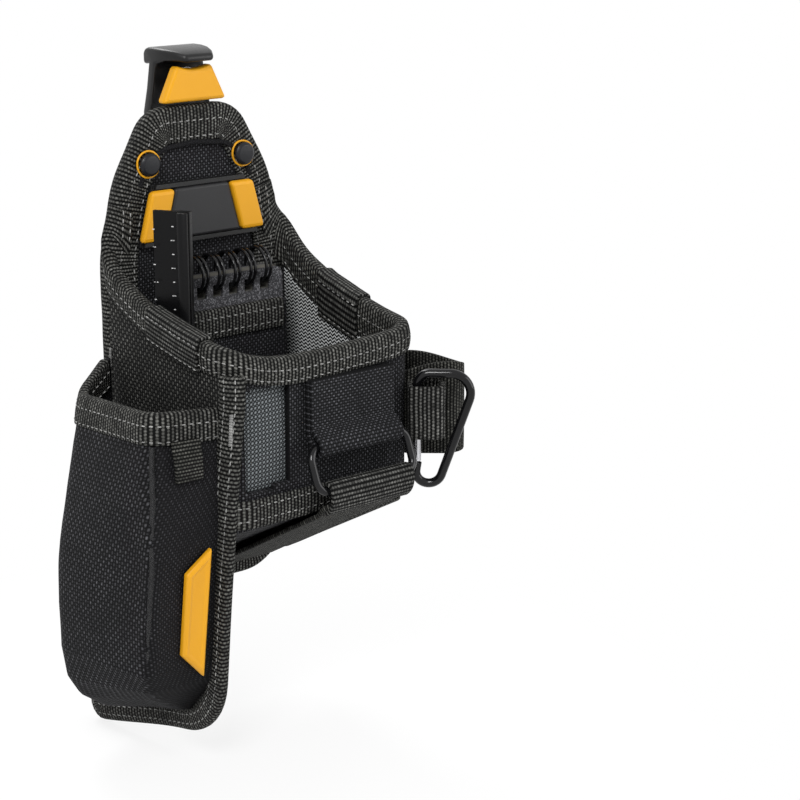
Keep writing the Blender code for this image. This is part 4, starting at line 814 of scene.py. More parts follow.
# back panel: a thin padded board covered in cloth, with tape round its edge
panel = {"top": 18.5 * mm, "bottom": -166.5 * mm, "topHalf": 18.5 * mm, "topRound": 13 * mm,
         "neckHalf": 32.5 * mm, "neckZ": -6.5 * mm, "half": 38.5 * mm, "sideZ": -34 * mm,
         "sideRound": 50 * mm, "footRound": 20 * mm, "cols": 44, "rows": 110, "pad": 0.7 * mm,
         "padShare": 0.6, "padReach": 12 * mm, "padFrom": 0.05, "leg": 12 * mm, "spacing": 2.2 * mm,
         "stitchRows": (0.36, 0.86)}
panelFoot = panel["bottom"] - edge - 2 * fit - pouch["tape"]


def panelOutline():
    right = [(panel["topHalf"], panel["top"], panel["topRound"]),
             (panel["neckHalf"], panel["neckZ"], panel["sideRound"]),
             (panel["half"], panel["sideZ"], panel["sideRound"]),
             (panel["half"], panel["bottom"], panel["footRound"])]
    return rounded(right + [(-x, z, r) for x, z, r in reversed(right)], closed=True)


def makePanel():
    outline = panelOutline()
    table = sorted((p.y, p.x) for p in outline if p.x > 0)
    middle = pouch["panelFront"] + pouch["panelThick"] / 2

    def halfAt(z):
        return along(table, max(table[0][0], min(table[-1][0], z)))

    def spot(col, row):
        z = lerp(panel["bottom"], panel["top"], row / panel["rows"])
        x = lerp(-1, 1, col / panel["cols"]) * halfAt(z)
        return Vector((x, middle, z)), (x, z)

    piece = clothPiece("panel_board", panel["cols"], panel["rows"], spot, pouch["panelThick"], nylon,
                       ["back_panel"])
    for vert in piece.data.vertices:  # soft swelling of the padding between the edges
        inset = min(1, (halfAt(vert.co.z) - abs(vert.co.x)) / panel["padReach"])
        side = -1 if vert.co.y < middle else 1
        swell = panel["pad"] * smoothShare(inset) * panel["padShare"] + ripple(vert.co, "panel")
        vert.co.y += side * swell if inset > panel["padFrom"] else 0
    half = len(outline) // 2
    ring = evenly([Vector((-fit, panel["bottom"]))] + outline[half:] + outline[:half]
                  + [Vector((fit, panel["bottom"]))], spacing=panel["spacing"])
    path = [Vector((p.x, middle, p.y)) for p in ring]
    inward = [Vector((-n.x, 0, -n.y)) for n in sidesOf(ring)]
    across = [Vector((0, -1, 0))] * len(path)
    foldedTape("panel_tape", path, inward, across, pouch["panelThick"], ["back_panel_binding"],
               rowDepths=panel["stitchRows"], legLength=panel["leg"])


# rolled welt where the panel's cloth meets the tape
welt = {"points": [(-24.5, -8), (-22.5, -3), (-18.5, 2.2), (-13, 5), (0, 6.2), (13, 5), (18.5, 2.2),
                   (22.5, -3), (24.5, -8)],
        "radius": 1.0 * mm, "round": 9 * mm, "spacing": 2 * mm}


def makeWelt():
    flat = rounded([(x * mm, z * mm, welt["round"]) for x, z in welt["points"]])
    y = pouch["panelFront"] - edge
    line = [Vector((p.x, y, p.y)) for p in evenly(flat, spacing=welt["spacing"])]
    place(rodPiece("panel_welt", line, welt["radius"], sides=4), nylon)


# main pocket
def rimPlan():
    left = pouch["leftX"] + fabric / 2
    right = pouch["rightX"] - fabric / 2
    start = wallBack + edge
    corners = [(left, start, 0), (left, frontMid, pouch["leftRimRadius"]),
               (right, frontMid, rim["rightRadius"]), (right, start, 0)]
    return evenly(rounded(corners), spacing=rim["spacing"])


rimPatch = {"left": (30.6 * mm, 62 * mm), "right": (48 * mm, 25 * mm), "lift": 1.05 * mm,
            "inner": 16.5 * mm, "cells": 16, "stitchRows": (0.16, 0.9), "bulge": 0.5 * mm}


def makeRim():
    plan = rimPlan()
    rows = [(Vector((p.x, front(p.y), rimTop(p.x, p.y) - edge + rim["lift"])), Vector((n.x, -n.y, 0)), -up,
             rim["innerLeg"]) for p, n in zip(plan, sidesOf(plan))]

    def flow(ends, turned):  # the tape climbs from the pocket on to the panel's own edge
        made = []
        for x, forward, z, reach in ends:
            share = smoothShare((-z - rim["endTop"]) / rim["endSpan"])
            inward = Vector((lerp(*rim["endLeanX"], share) * turned, 0, lerp(*rim["endLeanZ"], share)))
            outward = Vector((share * turned, 1 - share, 0))
            spot = Vector((x, pouch["panelFront"] / mm - forward, z)) * mm
            made.append((spot, outward.normalized(), inward.normalized(), reach * mm))
        return made

    rows = flow(rim["leftEnd"], -1) + rows + flow(rim["rightEnd"], 1)
    even = []
    for here, after in zip(rows, rows[1:]):  # spread the few end points evenly
        gap = (after[0] - here[0]).length
        for t in steps(0, 1, max(1, round(gap / rim["spacing"])))[:-1]:
            even.append([a.lerp(b, t) if isinstance(a, Vector) else lerp(a, b, t)
                         for a, b in zip(here, after)])
    even.append(rows[-1])
    path, across, inward, legs = [list(part) for part in zip(*even)]
    for _ in range(rim["passes"]):
        path = path[:1] + [(a + b * 2 + c) / 4 for a, b, c in zip(path, path[1:], path[2:])] + path[-1:]
    foldedTape("rim_tape", path, inward, across, fabric, ["rim_binding"], bulge=rim["bulge"],
               rowDepths=rim["stitchRows"], legLength=rim["outerLeg"], innerLegs=legs)
    lift = rimPatch["lift"]
    for hand, x, facing in (("left", plan[0].x, -1), ("right", plan[-1].x, 1)):
        run = steps(*rimPatch[hand], rimPatch["cells"])
        count = len(run)
        patchPath = [Vector((x, front(f), rimTop(x, f) - edge + lift)) for f in run]
        foldedTape("rim_patch_" + hand + "_webbing", patchPath, [-up] * count,
                   [Vector((facing, 0, 0))] * count, fabric + 2 * lift, ["rim_patch_" + hand],
                   rowDepths=rimPatch["stitchRows"], legLength=leg + edge, finish=patchWebbing,
                   bulge=rimPatch["bulge"], innerLegs=[rimPatch["inner"]] * count, lengthwise=True)


frontWall = {"leftEnd": -36.5 * mm, "cols": 60, "rows": 36, "tapeStart": -35 * mm, "tapeCells": 44}
window = {"left": -32 * mm, "width": 18.5 * mm, "top": -68 * mm, "height": 37 * mm, "overlap": 1.4 * mm,
          "gap": 0.5 * mm, "belly": 1.6 * mm, "fullness": 0.4, "thick": 0.8 * mm, "cols": 24, "rows": 44}


def makeFrontWall():
    turn = pouch["rightRadius"]
    leftTurn = pouch["leftRimRadius"]
    cornerX = pouch["rightX"] - fabric / 2 - turn
    cornerForward = frontMid - turn
    arcX = pouch["leftX"] + fabric / 2 + leftTurn
    flat = cornerX - frontWall["leftEnd"]
    total = flat + turn * math.pi / 2
    left, right = window["left"], window["left"] + window["width"]
    low, high = window["top"] - window["height"], window["top"]
    columns = sorted(set(steps(0, total, frontWall["cols"])
                         + [x - frontWall["leftEnd"] for x in (left, right)]))

    def onFront(x):  # how far forward the cloth is, and the way it faces
        share = max(0.0, arcX - x) / leftTurn
        rise = math.sqrt(1 - share ** 2)
        return frontMid - leftTurn * (1 - rise), Vector((-share, -rise, 0))

    def spot(col, row):
        length = columns[col]
        x = frontWall["leftEnd"] + length
        forward = onFront(x)[0]
        if length > flat:
            angle = (length - flat) / turn
            x = cornerX + turn * math.sin(angle)
            forward = cornerForward + turn * math.cos(angle)
        z = lerp(pouch["frontBottom"], rimTop(x, forward) - edge, row / frontWall["rows"])
        point = Vector((x, front(forward), z))
        point = point + Vector((0, ripple(point, "front"), 0))
        return point, (length, point.z)

    piece = gridPiece("front_cloth", len(columns) - 1, frontWall["rows"], spot)
    pick(piece, lambda centre, normal: left < centre.x < right and low < centre.z < high)
    bpy.ops.mesh.delete(type="FACE")
    thicken(piece, fabric)
    place(piece, nylon, "pouch", ["front_wall"])
    inside = pouch["depth"] - fabric - 2 * fit - window["gap"]
    overlap = window["overlap"]

    def meshSpot(col, row):
        shareX, shareZ = col / window["cols"], row / window["rows"]
        x = lerp(left - overlap, right + overlap, shareX)
        z = lerp(low - overlap, high + overlap, shareZ)
        swell = (math.sin(math.pi * shareX) * math.sin(math.pi * shareZ)) ** window["fullness"]
        return Vector((x, front(inside + window["belly"] * swell), z)), (x, z)

    clothPiece("mesh_insert", window["cols"], window["rows"], meshSpot, window["thick"], greyMesh,
               ["mesh_window"])
    foot = [(x, *onFront(x)) for x in steps(frontWall["tapeStart"], cornerX, frontWall["tapeCells"])]
    path = [Vector((x, front(forward), pouch["frontBottom"])) for x, forward, facing in foot]
    foldedTape("front_foot_tape", path, [up] * len(path), [facing for x, forward, facing in foot], fabric,
               ["front_wall_binding"])


rightWall = {"back": -3.2 * mm, "hang": 5 * mm, "dip": 2.4 * mm, "dipSlope": 0.6, "cols": 40,
             "rows": 50, "hemStart": -2.6 * mm, "hemCells": 36, "hemInner": 2.2 * mm, "hemLean": 0.543,
             "leanSpan": 9 * mm, "stitchAt": (-1.7 * mm, 1.3 * mm), "stitchLow": -148 * mm,
             "stitchTop": -42 * mm, "stitchCells": 40, "stitchLift": 0.05 * mm}
lining = {"lift": 0.6 * mm, "gap": 0.6 * mm, "thick": 0.8 * mm}
floorCloth = {"front": 70.8 * mm, "level": 69.6 * mm, "turn": 55.6 * mm, "turnSpan": 13.9 * mm,
              "sag": 0.3 * mm, "thick": 0.8, "cells": 30}


def makeRightWall():
    x = pouch["rightX"] - fabric / 2
    far = frontMid - pouch["rightRadius"] - fit
    cols, rows = rightWall["cols"], rightWall["rows"]
    outward = Vector((1, 0, 0))

    def spot(col, row):
        forward = lerp(rightWall["back"], far, col / cols)
        low = floorZ(forward) - rightWall["hang"]
        behind = max(0, rightWall["dip"] - forward)
        z = lerp(low, rimTop(x, forward + behind) - edge - behind * rightWall["dipSlope"], row / rows)
        point = Vector((x, front(forward), z))
        point.x += ripple(point, "side")
        return point, (forward, z)

    clothPiece("right_cloth", cols, rows, spot, fabric, nylon, ["right_wall"])
    hem, lean = [], []
    for forward in steps(rightWall["hemStart"], far - mm, rightWall["hemCells"]):
        point = Vector((x, front(forward), floorZ(forward) - rightWall["hang"]))
        hem.append(point + Vector((ripple(point, "side"), 0, 0)))
        share = smoothShare((forward - rightWall["hemStart"]) / rightWall["leanSpan"])
        lean.append(Vector((0, rightWall["hemLean"] * share, 1)).normalized())
    foldedTape("right_foot_tape", hem, lean, [outward] * len(hem), fabric, [],
               innerLegs=[rightWall["hemInner"]] * len(hem))
    for forward in rightWall["stitchAt"]:
        heights = steps(rightWall["stitchLow"], rightWall["stitchTop"], rightWall["stitchCells"])
        row = [Vector((x, front(forward), z)) for z in heights]
        row = [p + outward * (fabric / 2 + ripple(p, "side") + rightWall["stitchLift"]) for p in row]
        stitchRow("pouch", row, [outward] * len(row))

    def liningSpot(col, row):
        forward = lerp(wallBack + fit, far - fit, col / cols)
        z = lerp(floorZ(forward) + lining["lift"], rimTop(x, forward) - edge - rim["innerLeg"], row / rows)
        point = Vector((pouch["rightX"] - fabric - fit - lining["gap"], front(forward), z))
        point.x -= abs(ripple(point, "lining"))
        return point, (forward, z)

    clothPiece("knit_lining", cols, rows, liningSpot, lining["thick"], greyKnit, ["right_wall_lining"])
    cells = floorCloth["cells"]

    def floorSpot(col, row):  # the floor narrows round both front corners
        forward = lerp(wallBack + fit, floorCloth["front"], row / cells)
        turned = max(0, forward - floorCloth["turn"]) / floorCloth["turnSpan"]
        left = pouch["leftX"] + fabric + fit + 2 * edge * turned
        corner = pouch["rightRadius"] - fabric / 2 - fit
        right = x - pouch["rightRadius"] + math.sqrt(corner ** 2 - max(0, forward - far) ** 2)
        z = floorZ(min(forward, floorCloth["level"])) - fabric / 2
        point = Vector((lerp(left, right, col / cells), front(forward), z))
        point.z += ripple(point, "side") - floorCloth["sag"]
        return point, (point.x, forward)

    clothPiece("floor_cloth", cells, cells, floorSpot, fabric * floorCloth["thick"], nylon,
               ["pocket_floor"])


# left wall, hanging below the pocket and bent round the corner at its front edge
leftWall = {"turn": 69.5 * mm, "radius": 12 * mm, "frontTop": 78.7 * mm, "stepZ": -61.8 * mm,
            "knee": 73.5 * mm, "kneeZ": -124 * mm, "kneeRound": 40 * mm, "foot": 65 * mm,
            "footZ": -197.3 * mm, "backZ": -214.5 * mm, "backReach": 10 * mm, "backCorner": 6 * mm,
            "frontCorner": 28 * mm, "leg": 6.8 * mm, "cloth": 1.8 * mm, "flare": 7 * mm,
            "flareTop": -183 * mm, "flareDrop": 26 * mm, "flareFront": 40 * mm, "flareSpan": 50 * mm,
            "gap": 0.2 * mm, "backCols": 5, "midCols": 40, "frontCols": 16, "rows": 60,
            "spacing": 2.2 * mm, "bulge": 0.4 * mm}


def wallFront(z):
    return along([(leftWall["footZ"], leftWall["foot"]), (leftWall["kneeZ"], leftWall["knee"]),
                  (leftWall["stepZ"], leftWall["frontTop"])], z)


def wallFlare(length, z):  # the loose back corner bends outwards
    drop = smoothShare((leftWall["flareTop"] - z) / leftWall["flareDrop"])
    return leftWall["flare"] * drop * smoothShare((leftWall["flareFront"] - length) / leftWall["flareSpan"])


def wallSpot(length, z, outward=0.0):  # a point on the wall, by its length round the corner
    radius = leftWall["radius"] - fabric / 2
    x = pouch["leftX"] + fabric / 2
    outward += wallFlare(length, z)
    if length <= leftWall["turn"]:
        return Vector((x - outward, front(length), z))
    angle = (length - leftWall["turn"]) / radius
    reach = radius + outward
    return Vector((x + radius - reach * math.cos(angle),
                   front(leftWall["turn"] + reach * math.sin(angle)), z))


def wallEdge():
    step = leftWall["stepZ"]
    return rounded([(-leftWall["backReach"], panelFoot, 0),
                    (-leftWall["backReach"], leftWall["backZ"], leftWall["backCorner"]),
                    (leftWall["foot"], leftWall["footZ"], leftWall["frontCorner"]),
                    (leftWall["knee"], leftWall["kneeZ"], leftWall["kneeRound"]),
                    (leftWall["frontTop"], step - leg, 0), (leftWall["frontTop"], step, 0)])


def makeLeftWall():
    hem = wallEdge()
    rimEnd = frontMid - pouch["leftRimRadius"]
    lowest = min(range(len(hem)), key=lambda i: hem[i].y)
    backTable = [(p.x, p.y) for p in hem[1:lowest + 1]]
    frontTable = [(p.x, p.y) for p in hem[lowest:-1]]

    def low(length):
        return along(backTable if length <= backTable[-1][0] else frontTable, length)

    def high(length):
        if length < wallBack:
            return panelFoot
        return rimTop(pouch["leftX"], length) - edge if length <= rimEnd else leftWall["stepZ"]

    gap = leftWall["gap"]
    lengths = sorted(set(steps(hem[1].x, wallBack - gap, leftWall["backCols"])
                         + steps(wallBack, rimEnd, leftWall["midCols"])
                         + steps(rimEnd + gap, hem[-1].x, leftWall["frontCols"])))

    def spot(col, row):
        length = lengths[col]
        z = lerp(low(length), high(length), row / leftWall["rows"])
        point = wallSpot(length, z)
        return wallSpot(length, z, ripple(point, "left")), (length, z)

    clothPiece("left_cloth", len(lengths) - 1, leftWall["rows"], spot, leftWall["cloth"], lightNylon,
               ["left_wall"])
    fine = evenly(hem, spacing=leftWall["spacing"])
    sides = sidesOf(fine)
    half = leftWall["cloth"] / 2 + pouch["tape"] / 2
    bulge, reachIn = leftWall["bulge"], leftWall["leg"]
    profile, widths = tapeProfile(half, bulge, reachIn)
    runs = lengthsOf(fine)

    def tapeSpot(col, row):
        a, depth, side = profile[row]
        flat = fine[col] + sides[col] * (depth * reachIn if side else depth)
        return wallSpot(flat.x, flat.y, a), (runs[col], widths[row])

    clothPiece("wall_tape", len(fine) - 1, len(profile) - 1, tapeSpot, tapeBook["thick"], tape,
               ["left_wall_binding"])
    for depth in tapeBook["stitchRows"]:
        for side in (1, -1):
            reach = tapeReach(half, bulge, depth) * side
            flats = [p + n * depth * reachIn for p, n in zip(fine, sides)]
            row = [wallSpot(p.x, p.y, reach) for p in flats]
            normals = [(wallSpot(p.x, p.y, reach + side * mm) - q).normalized() for p, q in zip(flats, row)]
            stitchRow("pouch", row, normals)


# dense zig-zag tacks where the tapes meet
# each as its upper and lower end (length, z) in mm, and how far it lies out
tacks = {"runs": [((76, -74.5), (75.4, -86), 2.75 * mm), ((3.6, -65.2), (3.2, -72.5), 2.3 * mm)],
         "half": 0.9 * mm, "pitch": 0.55 * mm, "slant": 0.25}


def makeTacks():
    half = tacks["half"]
    for (a, high), (b, low), reach in tacks["runs"]:
        count = int((high - low) * mm / tacks["pitch"])
        for i in range(count):
            share = (i + 0.5) / count
            length, z = lerp(a, b, share) * mm, lerp(high, low, share) * mm
            row = [wallSpot(length + across, z + across * tacks["slant"], reach)
                   for across in (-half, 0, half)]
            normal = (wallSpot(length, z, reach + mm) - wallSpot(length, z, reach)).normalized()
            stitchRow("pouch", row, [normal] * 3, pitch=2 * half)


# tool pocket: one shell of cloth round the back corner, the ridge and the foot
# lines down the shell as (share of the way, x, forward, z) in mm; the front root follows the left wall
tool = {
    "cloth": 2.0 * mm, "puff": 3.0 * mm, "puffShare": 0.6, "bellyEnd": 0.97, "fullness": 0.6,
    "faceFrom": 0.22, "faceSpan": 0.48, "bend": 0.75, "end": 0.995, "footRoot": 46 * mm,
    "bendZ": -176 * mm, "footZ": -194 * mm, "clear": 1.8 * mm, "rootLift": 0.1 * mm, "rows": 46,
    "footRows": 24, "cols": 64, "sideFacing": 0.6,
    "soft": {"round": (15, 11), "least": 0.3 * mm, "most": 0.62},
    "crisp": {"round": (17, 2.4), "least": 0.2 * mm, "most": 0.3, "quick": 3},
    "backRoot": [(0, -41.6, 3, -69), (0.75, -41.6, 6.5, -174), (1, -41.6, 9, -203)],
    "corner": [(0, -61.6, 14.5, -77.6), (0.13, -66, 13.5, -93.5), (0.25, -69.2, 12.5, -109),
               (0.37, -71.4, 11.5, -123), (0.5, -73.3, 11, -138), (0.62, -74.5, 10.5, -153),
               (0.75, -75, 10.5, -170), (0.82, -73.6, 10.5, -182), (0.88, -69.6, 11, -190),
               (0.94, -60.5, 12, -197), (1, -42.6, 13, -202)],
    "ridge": [(0, -63.5, 64.5, -74), (0.22, -67, 69.5, -101), (0.39, -69.2, 71.4, -122),
              (0.57, -70.4, 69.9, -144), (0.75, -70.2, 66.6, -166), (0.82, -66.3, 62, -174),
              (0.88, -60, 57.5, -180), (0.94, -51.5, 51.7, -187), (1, -42.6, 47, -193)], "rimStart": 2,
    "rimLean": 0.1, "rimCore": 0.6, "rimBulge": 0.25 * mm, "rimStitches": (0.3, 0.88),
}
ridgeSeam = {"radius": 1.0 * mm, "firstRow": 5, "inX": 0.5 * mm, "back": 0.7 * mm, "spacing": 1.6 * mm}


def toolPoint(name, share):
    return Vector([along([(row[0], row[k]) for row in tool[name]], share) * mm for k in (1, 2, 3)])


def toolFrontRoot(z):
    clear = leftWall["leg"] - tool["clear"]
    if z < tool["bendZ"]:
        return along([(tool["footZ"], tool["footRoot"]),
                      (tool["bendZ"], wallFront(tool["bendZ"]) - clear)], z)
    return min(leftWall["turn"] - fit, wallFront(z) - clear)


def toolCorners(share):
    corners = [toolPoint(name, share) for name in ("backRoot", "corner", "ridge")]
    corners[0].x -= wallFlare(corners[0].y, corners[0].z)
    z = corners[2].z - mm
    return corners + [Vector((pouch["leftX"] + tool["rootLift"], toolFrontRoot(z), z))]


def toolSection(share):  # one line round the pocket: plan rounded, heights carried along it
    corners = toolCorners(share)
    depth = corners[0].x - corners[1].x
    radii = [0]
    for bend, t in ((tool["soft"], share), (tool["crisp"], smoothShare(share * tool["crisp"]["quick"]))):
        radii.append(max(bend["least"], min(lerp(*bend["round"], t) * mm, depth * bend["most"])))
    radii.append(0)
    plan = evenly(rounded([(c.x, c.y, r) for c, r in zip(corners, radii)]), count=tool["cols"])
    runs = lengthsOf([c.xy for c in corners])
    heights = [(run, c.z) for run, c in zip(runs, corners)]
    return [Vector((p.x, front(p.y), along(heights, runs[-1] * i / tool["cols"])))
            for i, p in enumerate(plan)]


def toolOut(line, i):
    run = line[min(i + 1, len(line) - 1)] - line[max(i - 1, 0)]
    out = Vector((run.y, -run.x, 0)).normalized()
    return out if out.x < 0 or out.y < -0.5 else -out


def makeToolPocket():
    shares = steps(0, tool["bend"], tool["rows"]) + steps(tool["bend"], tool["end"], tool["footRows"])[1:]
    sections = [toolSection(share) for share in shares]
    heights = lengthsOf([line[tool["cols"] // 2] for line in sections])

    def spot(col, row):
        line = sections[row]
        belly = math.sin(math.pi * clampShare(shares[row] / tool["bellyEnd"])) ** tool["fullness"]
        face = math.sin(math.pi * clampShare((col / tool["cols"] - tool["faceFrom"]) / tool["faceSpan"]))
        swell = tool["puff"] * belly * face * tool["puffShare"] + ripple(line[col], "tool") * belly
        return line[col] + toolOut(line, col) * swell, (lengthsOf(line)[col], -heights[row])

    shell = clothPiece("tool_shell", tool["cols"], len(shares) - 1, spot, tool["cloth"], pocketNylon,
                       ["tool_pocket_face", "tool_pocket_rear_side", "tool_pocket_front_side"])
    # forward-facing faces take the side cloth, whose painted crest highlight is dimmer
    shell.data.materials.append(sideNylon)
    for face in shell.data.polygons:
        face.material_index = 1 if face.normal.y < -tool["sideFacing"] else 0

    # rolled seam down the ridge and in under the foot
    ridge = [toolCorners(share)[2] for share in shares][ridgeSeam["firstRow"]:]
    line = evenly([Vector((p.x + ridgeSeam["inX"], front(p.y - ridgeSeam["back"]), p.z)) for p in ridge],
                  spacing=ridgeSeam["spacing"])
    line = [p + Vector((ripple(p, "seam"), ripple(p + Vector((1, 0, 0)), "seam"), 0)) for p in line]
    place(rodPiece("ridge_seam", line, ridgeSeam["radius"], sides=3), roughNylon)

    upper = toolSection(0)
    lower = toolSection(tool["bend"] * tool["rimLean"])
    lean = [(b - a).normalized() for a, b in zip(upper, lower)]
    across = [toolOut(upper, i) for i in range(len(upper))]
    keep = slice(tool["rimStart"], None)
    foldedTape("tool_rim_tape", upper[keep], lean[keep], across[keep], tool["cloth"] * tool["rimCore"],
               ["tool_pocket_binding"], bulge=tool["rimBulge"], rowDepths=tool["rimStitches"])


def onFrontSide(z, acrossBy, outward):  # a point on the pocket's front side, from its root
    table = [(toolCorners(share)[2].z, share) for share in reversed(steps(0, tool["bend"], 12))]
    corners = toolCorners(along(table, z))
    run = (corners[2].xy - corners[3].xy).normalized()
    normal = Vector((-run.y, run.x))
    normal = normal if normal.y > 0 else -normal
    point = corners[3].xy + run * acrossBy + normal * outward
    return Vector((point.x, front(point.y), z))


tab = {"top": -82.3 * mm, "width": 10.8 * mm, "length": 14.5 * mm, "inset": 8 * mm, "bow": 0.8 * mm,
       "gap": 0.5 * mm, "cols": 16, "rows": 24}


def makeTab():
    lift = tool["cloth"] / 2 + fit + pouch["webbing"] / 2

    def spot(col, row):
        share = row / tab["rows"]
        bow = tab["bow"] * math.sin(math.pi * share) + tab["gap"]
        width = tab["inset"] + tab["width"] * col / tab["cols"]
        run = tab["length"] * share
        return onFrontSide(tab["top"] - run, width, lift + bow), (run, width)

    clothPiece("pocket_tab", tab["cols"], tab["rows"], spot, pouch["webbing"], webbing, ["tool_pocket_tab"])


# the tag is modelled flat, its free edge shorter and its face sunk in a raised frame,
# then laid on the pocket's side
tag = {"width": 10.7 * mm, "height": 50.5 * mm, "pointTop": 7.3 * mm, "pointLow": 11.5 * mm,
       "top": -122.4 * mm, "inset": 6.3 * mm, "thick": 2.2 * mm, "front": 0.55, "root": 0.5 * mm,
       "lift": 0.9 * mm, "frame": 1.3 * mm, "rises": (-0.45, 0.25), "bevel": 0.35 * mm}


def makeTag():
    width, height, thick = tag["width"], tag["height"], tag["thick"]
    piece = startBlock("yellow_tag", (-width, -thick * tag["front"], -height), (0, tag["root"], 0))
    pick(piece, lambda spot, normal: normal.x < -squarely)
    short = 1 - (tag["pointTop"] + tag["pointLow"]) / height
    bpy.ops.transform.resize(value=(1, 1, short), center_override=pickedMiddle(piece))
    bpy.ops.transform.translate(value=(0, 0, (tag["pointLow"] - tag["pointTop"]) / 2))
    pick(piece, lambda spot, normal: normal.y < -squarely)
    for rise in tag["rises"]:
        sink(tag["frame"], (0, rise * thick, 0))
    finishSolid(piece, tag["bevel"], limit=15, smooth=35)
    surface = tool["cloth"] / 2 + 3 * fit
    high, near = tag["top"], tag["inset"]
    corner = onFrontSide(high, near, surface)
    across = (corner - onFrontSide(high, near + width, surface)).normalized()
    back = (corner - onFrontSide(high - height, near, surface)).cross(across).normalized()
    turn = Matrix((across, back, across.cross(back))).transposed().to_4x4()
    piece.matrix_world = Matrix.Translation(corner - back * tag["lift"]) @ turn
    activate(piece)
    bpy.ops.object.transform_apply(location=True, rotation=True, scale=True)
    place(piece, yellow, "pouch", ["edge_tag"])


# sleeve, and the wire of the notebook in it
sleeve = {"half": 28.1 * mm, "front": 21.5 * mm, "top": -54 * mm, "bottom": -121.1 * mm, "wall": 1.5 * mm,
          "corner": 3 * mm, "cols": 70, "rows": 36, "tapeHalf": 24 * mm, "tapeCols": 30, "tapeRows": 6,
          "tapeBulge": 0.4 * mm, "tapeIn": 0.3 * mm, "tapeUp": 0.1 * mm, "stitchRows": (0.2, 0.75),
          "stitchLift": 0.45}


def makeSleeve():
    mid = sleeve["wall"] / 2
    side, ahead, turn = sleeve["half"] - mid, sleeve["front"] - mid, sleeve["corner"]
    plan = evenly(rounded([(-side, fit, 0), (-side, ahead, turn), (side, ahead, turn), (side, fit, 0)]),
                  count=sleeve["cols"])
    runs = lengthsOf(plan)

    def spot(col, row):
        z = lerp(sleeve["bottom"], sleeve["top"], row / sleeve["rows"])
        point = Vector((plan[col].x, front(plan[col].y), z))
        point.y -= abs(ripple(point, "sleeve"))
        return point, (runs[col], z)

    clothPiece("sleeve_cloth", sleeve["cols"], sleeve["rows"], spot, sleeve["wall"], nylon,
               ["inner_pocket"])
    # tape over the sleeve's rim
    cells, half = sleeve["tapeRows"], pouch["tape"] / 2
    ends = steps(-sleeve["tapeHalf"], sleeve["tapeHalf"], sleeve["tapeCols"])
    outer = front(sleeve["front"]) - fit - half
    top = sleeve["top"] + fit + half
    back = front(sleeve["front"] - sleeve["wall"]) - half
    profile = [(outer, sleeve["top"] - leg * t) for t in steps(1, 0, cells)]
    profile += [(outer + sleeve["tapeIn"], top), (back, top + sleeve["tapeUp"])]
    widths = lengthsOf([Vector(p) for p in profile])

    def bulgeAt(share):
        return sleeve["tapeBulge"] * math.sin(math.pi * share)

    def tapeSpot(col, row):
        y, z = profile[row]
        return Vector((ends[col], y - bulgeAt(min(1, row / cells)), z)), (ends[col], widths[row])

    clothPiece("sleeve_tape", sleeve["tapeCols"], len(profile) - 1, tapeSpot, tapeBook["thick"], tape,
               ["inner_pocket_binding"])
    for depth in sleeve["stitchRows"]:
        y = outer - pouch["tape"] * sleeve["stitchLift"] - bulgeAt(depth)
        row = [Vector((x, y, sleeve["top"] - leg * depth)) for x in ends]
        stitchRow("pouch", row, [Vector((0, -1, 0))] * len(row))


book = {"top": -41 * mm, "front": 19.4 * mm, "thick": 7.6 * mm, "loops": 6, "pitch": 7.1 * mm,
        "twin": 2.0 * mm, "radius": 6.6 * mm, "wire": 0.6 * mm, "holeDrop": 5.6 * mm,
        "sweep": (-25, 314), "cells": 30}


def makeNotebookWire():  # twin loops, wound there and back
    middle = front(book["front"]) + book["thick"] / 2
    centre = book["top"] - book["holeDrop"] + book["radius"]
    angles = steps(*[math.radians(a) for a in book["sweep"]], book["cells"])
    first = -(book["loops"] - 1) * book["pitch"] / 2
    wire = []
    for k in range(book["loops"]):
        x = first + k * book["pitch"]
        for offset, run in ((-book["twin"] / 2, angles), (book["twin"] / 2, angles[::-1])):
            for angle in run:
                wire.append(Vector((x + offset, middle + book["radius"] * math.cos(angle),
                                    centre + book["radius"] * math.sin(angle))))
    piece = rodPiece("book_wire", wire, book["wire"], sides=3)
    place(piece, blackSteel, "notebook", ["notebook_wire"])


# strap with the wire ring
strapBook = {"x": 12.3 * mm, "width": 37.5 * mm, "ringWidth": 47 * mm, "ringHeight": 19.4 * mm,
             "wire": 1.55 * mm, "corner": 5 * mm, "lean": math.radians(22), "drop": 36 * mm,
             "slack": 0.6 * mm, "bend": 8 * mm, "under": 63, "footRise": 5 * mm, "cols": 26,
             "spacing": 1.6 * mm, "tuck": 0.15 * mm, "tailRound": 6 * mm,
             "tailRuns": (3.5 * mm, 0.5 * mm, 5 * mm), "freeTuck": 0.1, "legRises": (1.9, 1.2),
             "topArc": (70, -180, 16), "lowArc": (180, 0, 16), "bendCells": 14}


def ringLine():
    clear = pouch["depth"] + fit + pouch["webbing"] + strapBook["slack"] + strapBook["wire"]
    top = Vector((clear + pouch["webbing"], pouch["rimFront"] - strapBook["drop"]))
    down = Vector((math.sin(strapBook["lean"]), -math.cos(strapBook["lean"])))
    return top, down, strapBook["ringHeight"] - 2 * strapBook["wire"]


def strapPiece(name, line, nodes, body="pouch", spacing=strapBook["spacing"], finish=webbing):
    line = evenly(line, spacing=spacing)
    runs = lengthsOf(line)
    half = strapBook["width"] / 2
    cols = strapBook["cols"]

    def spot(col, row):
        share = lerp(-1, 1, row / cols)
        point = Vector((strapBook["x"] + share * half, front(line[col].x), line[col].y))
        point.y += ripple(point, "strap")
        return point, (runs[col], share * half)

    return clothPiece(name, len(line) - 1, cols, spot, pouch["webbing"], finish, nodes,
                      body)


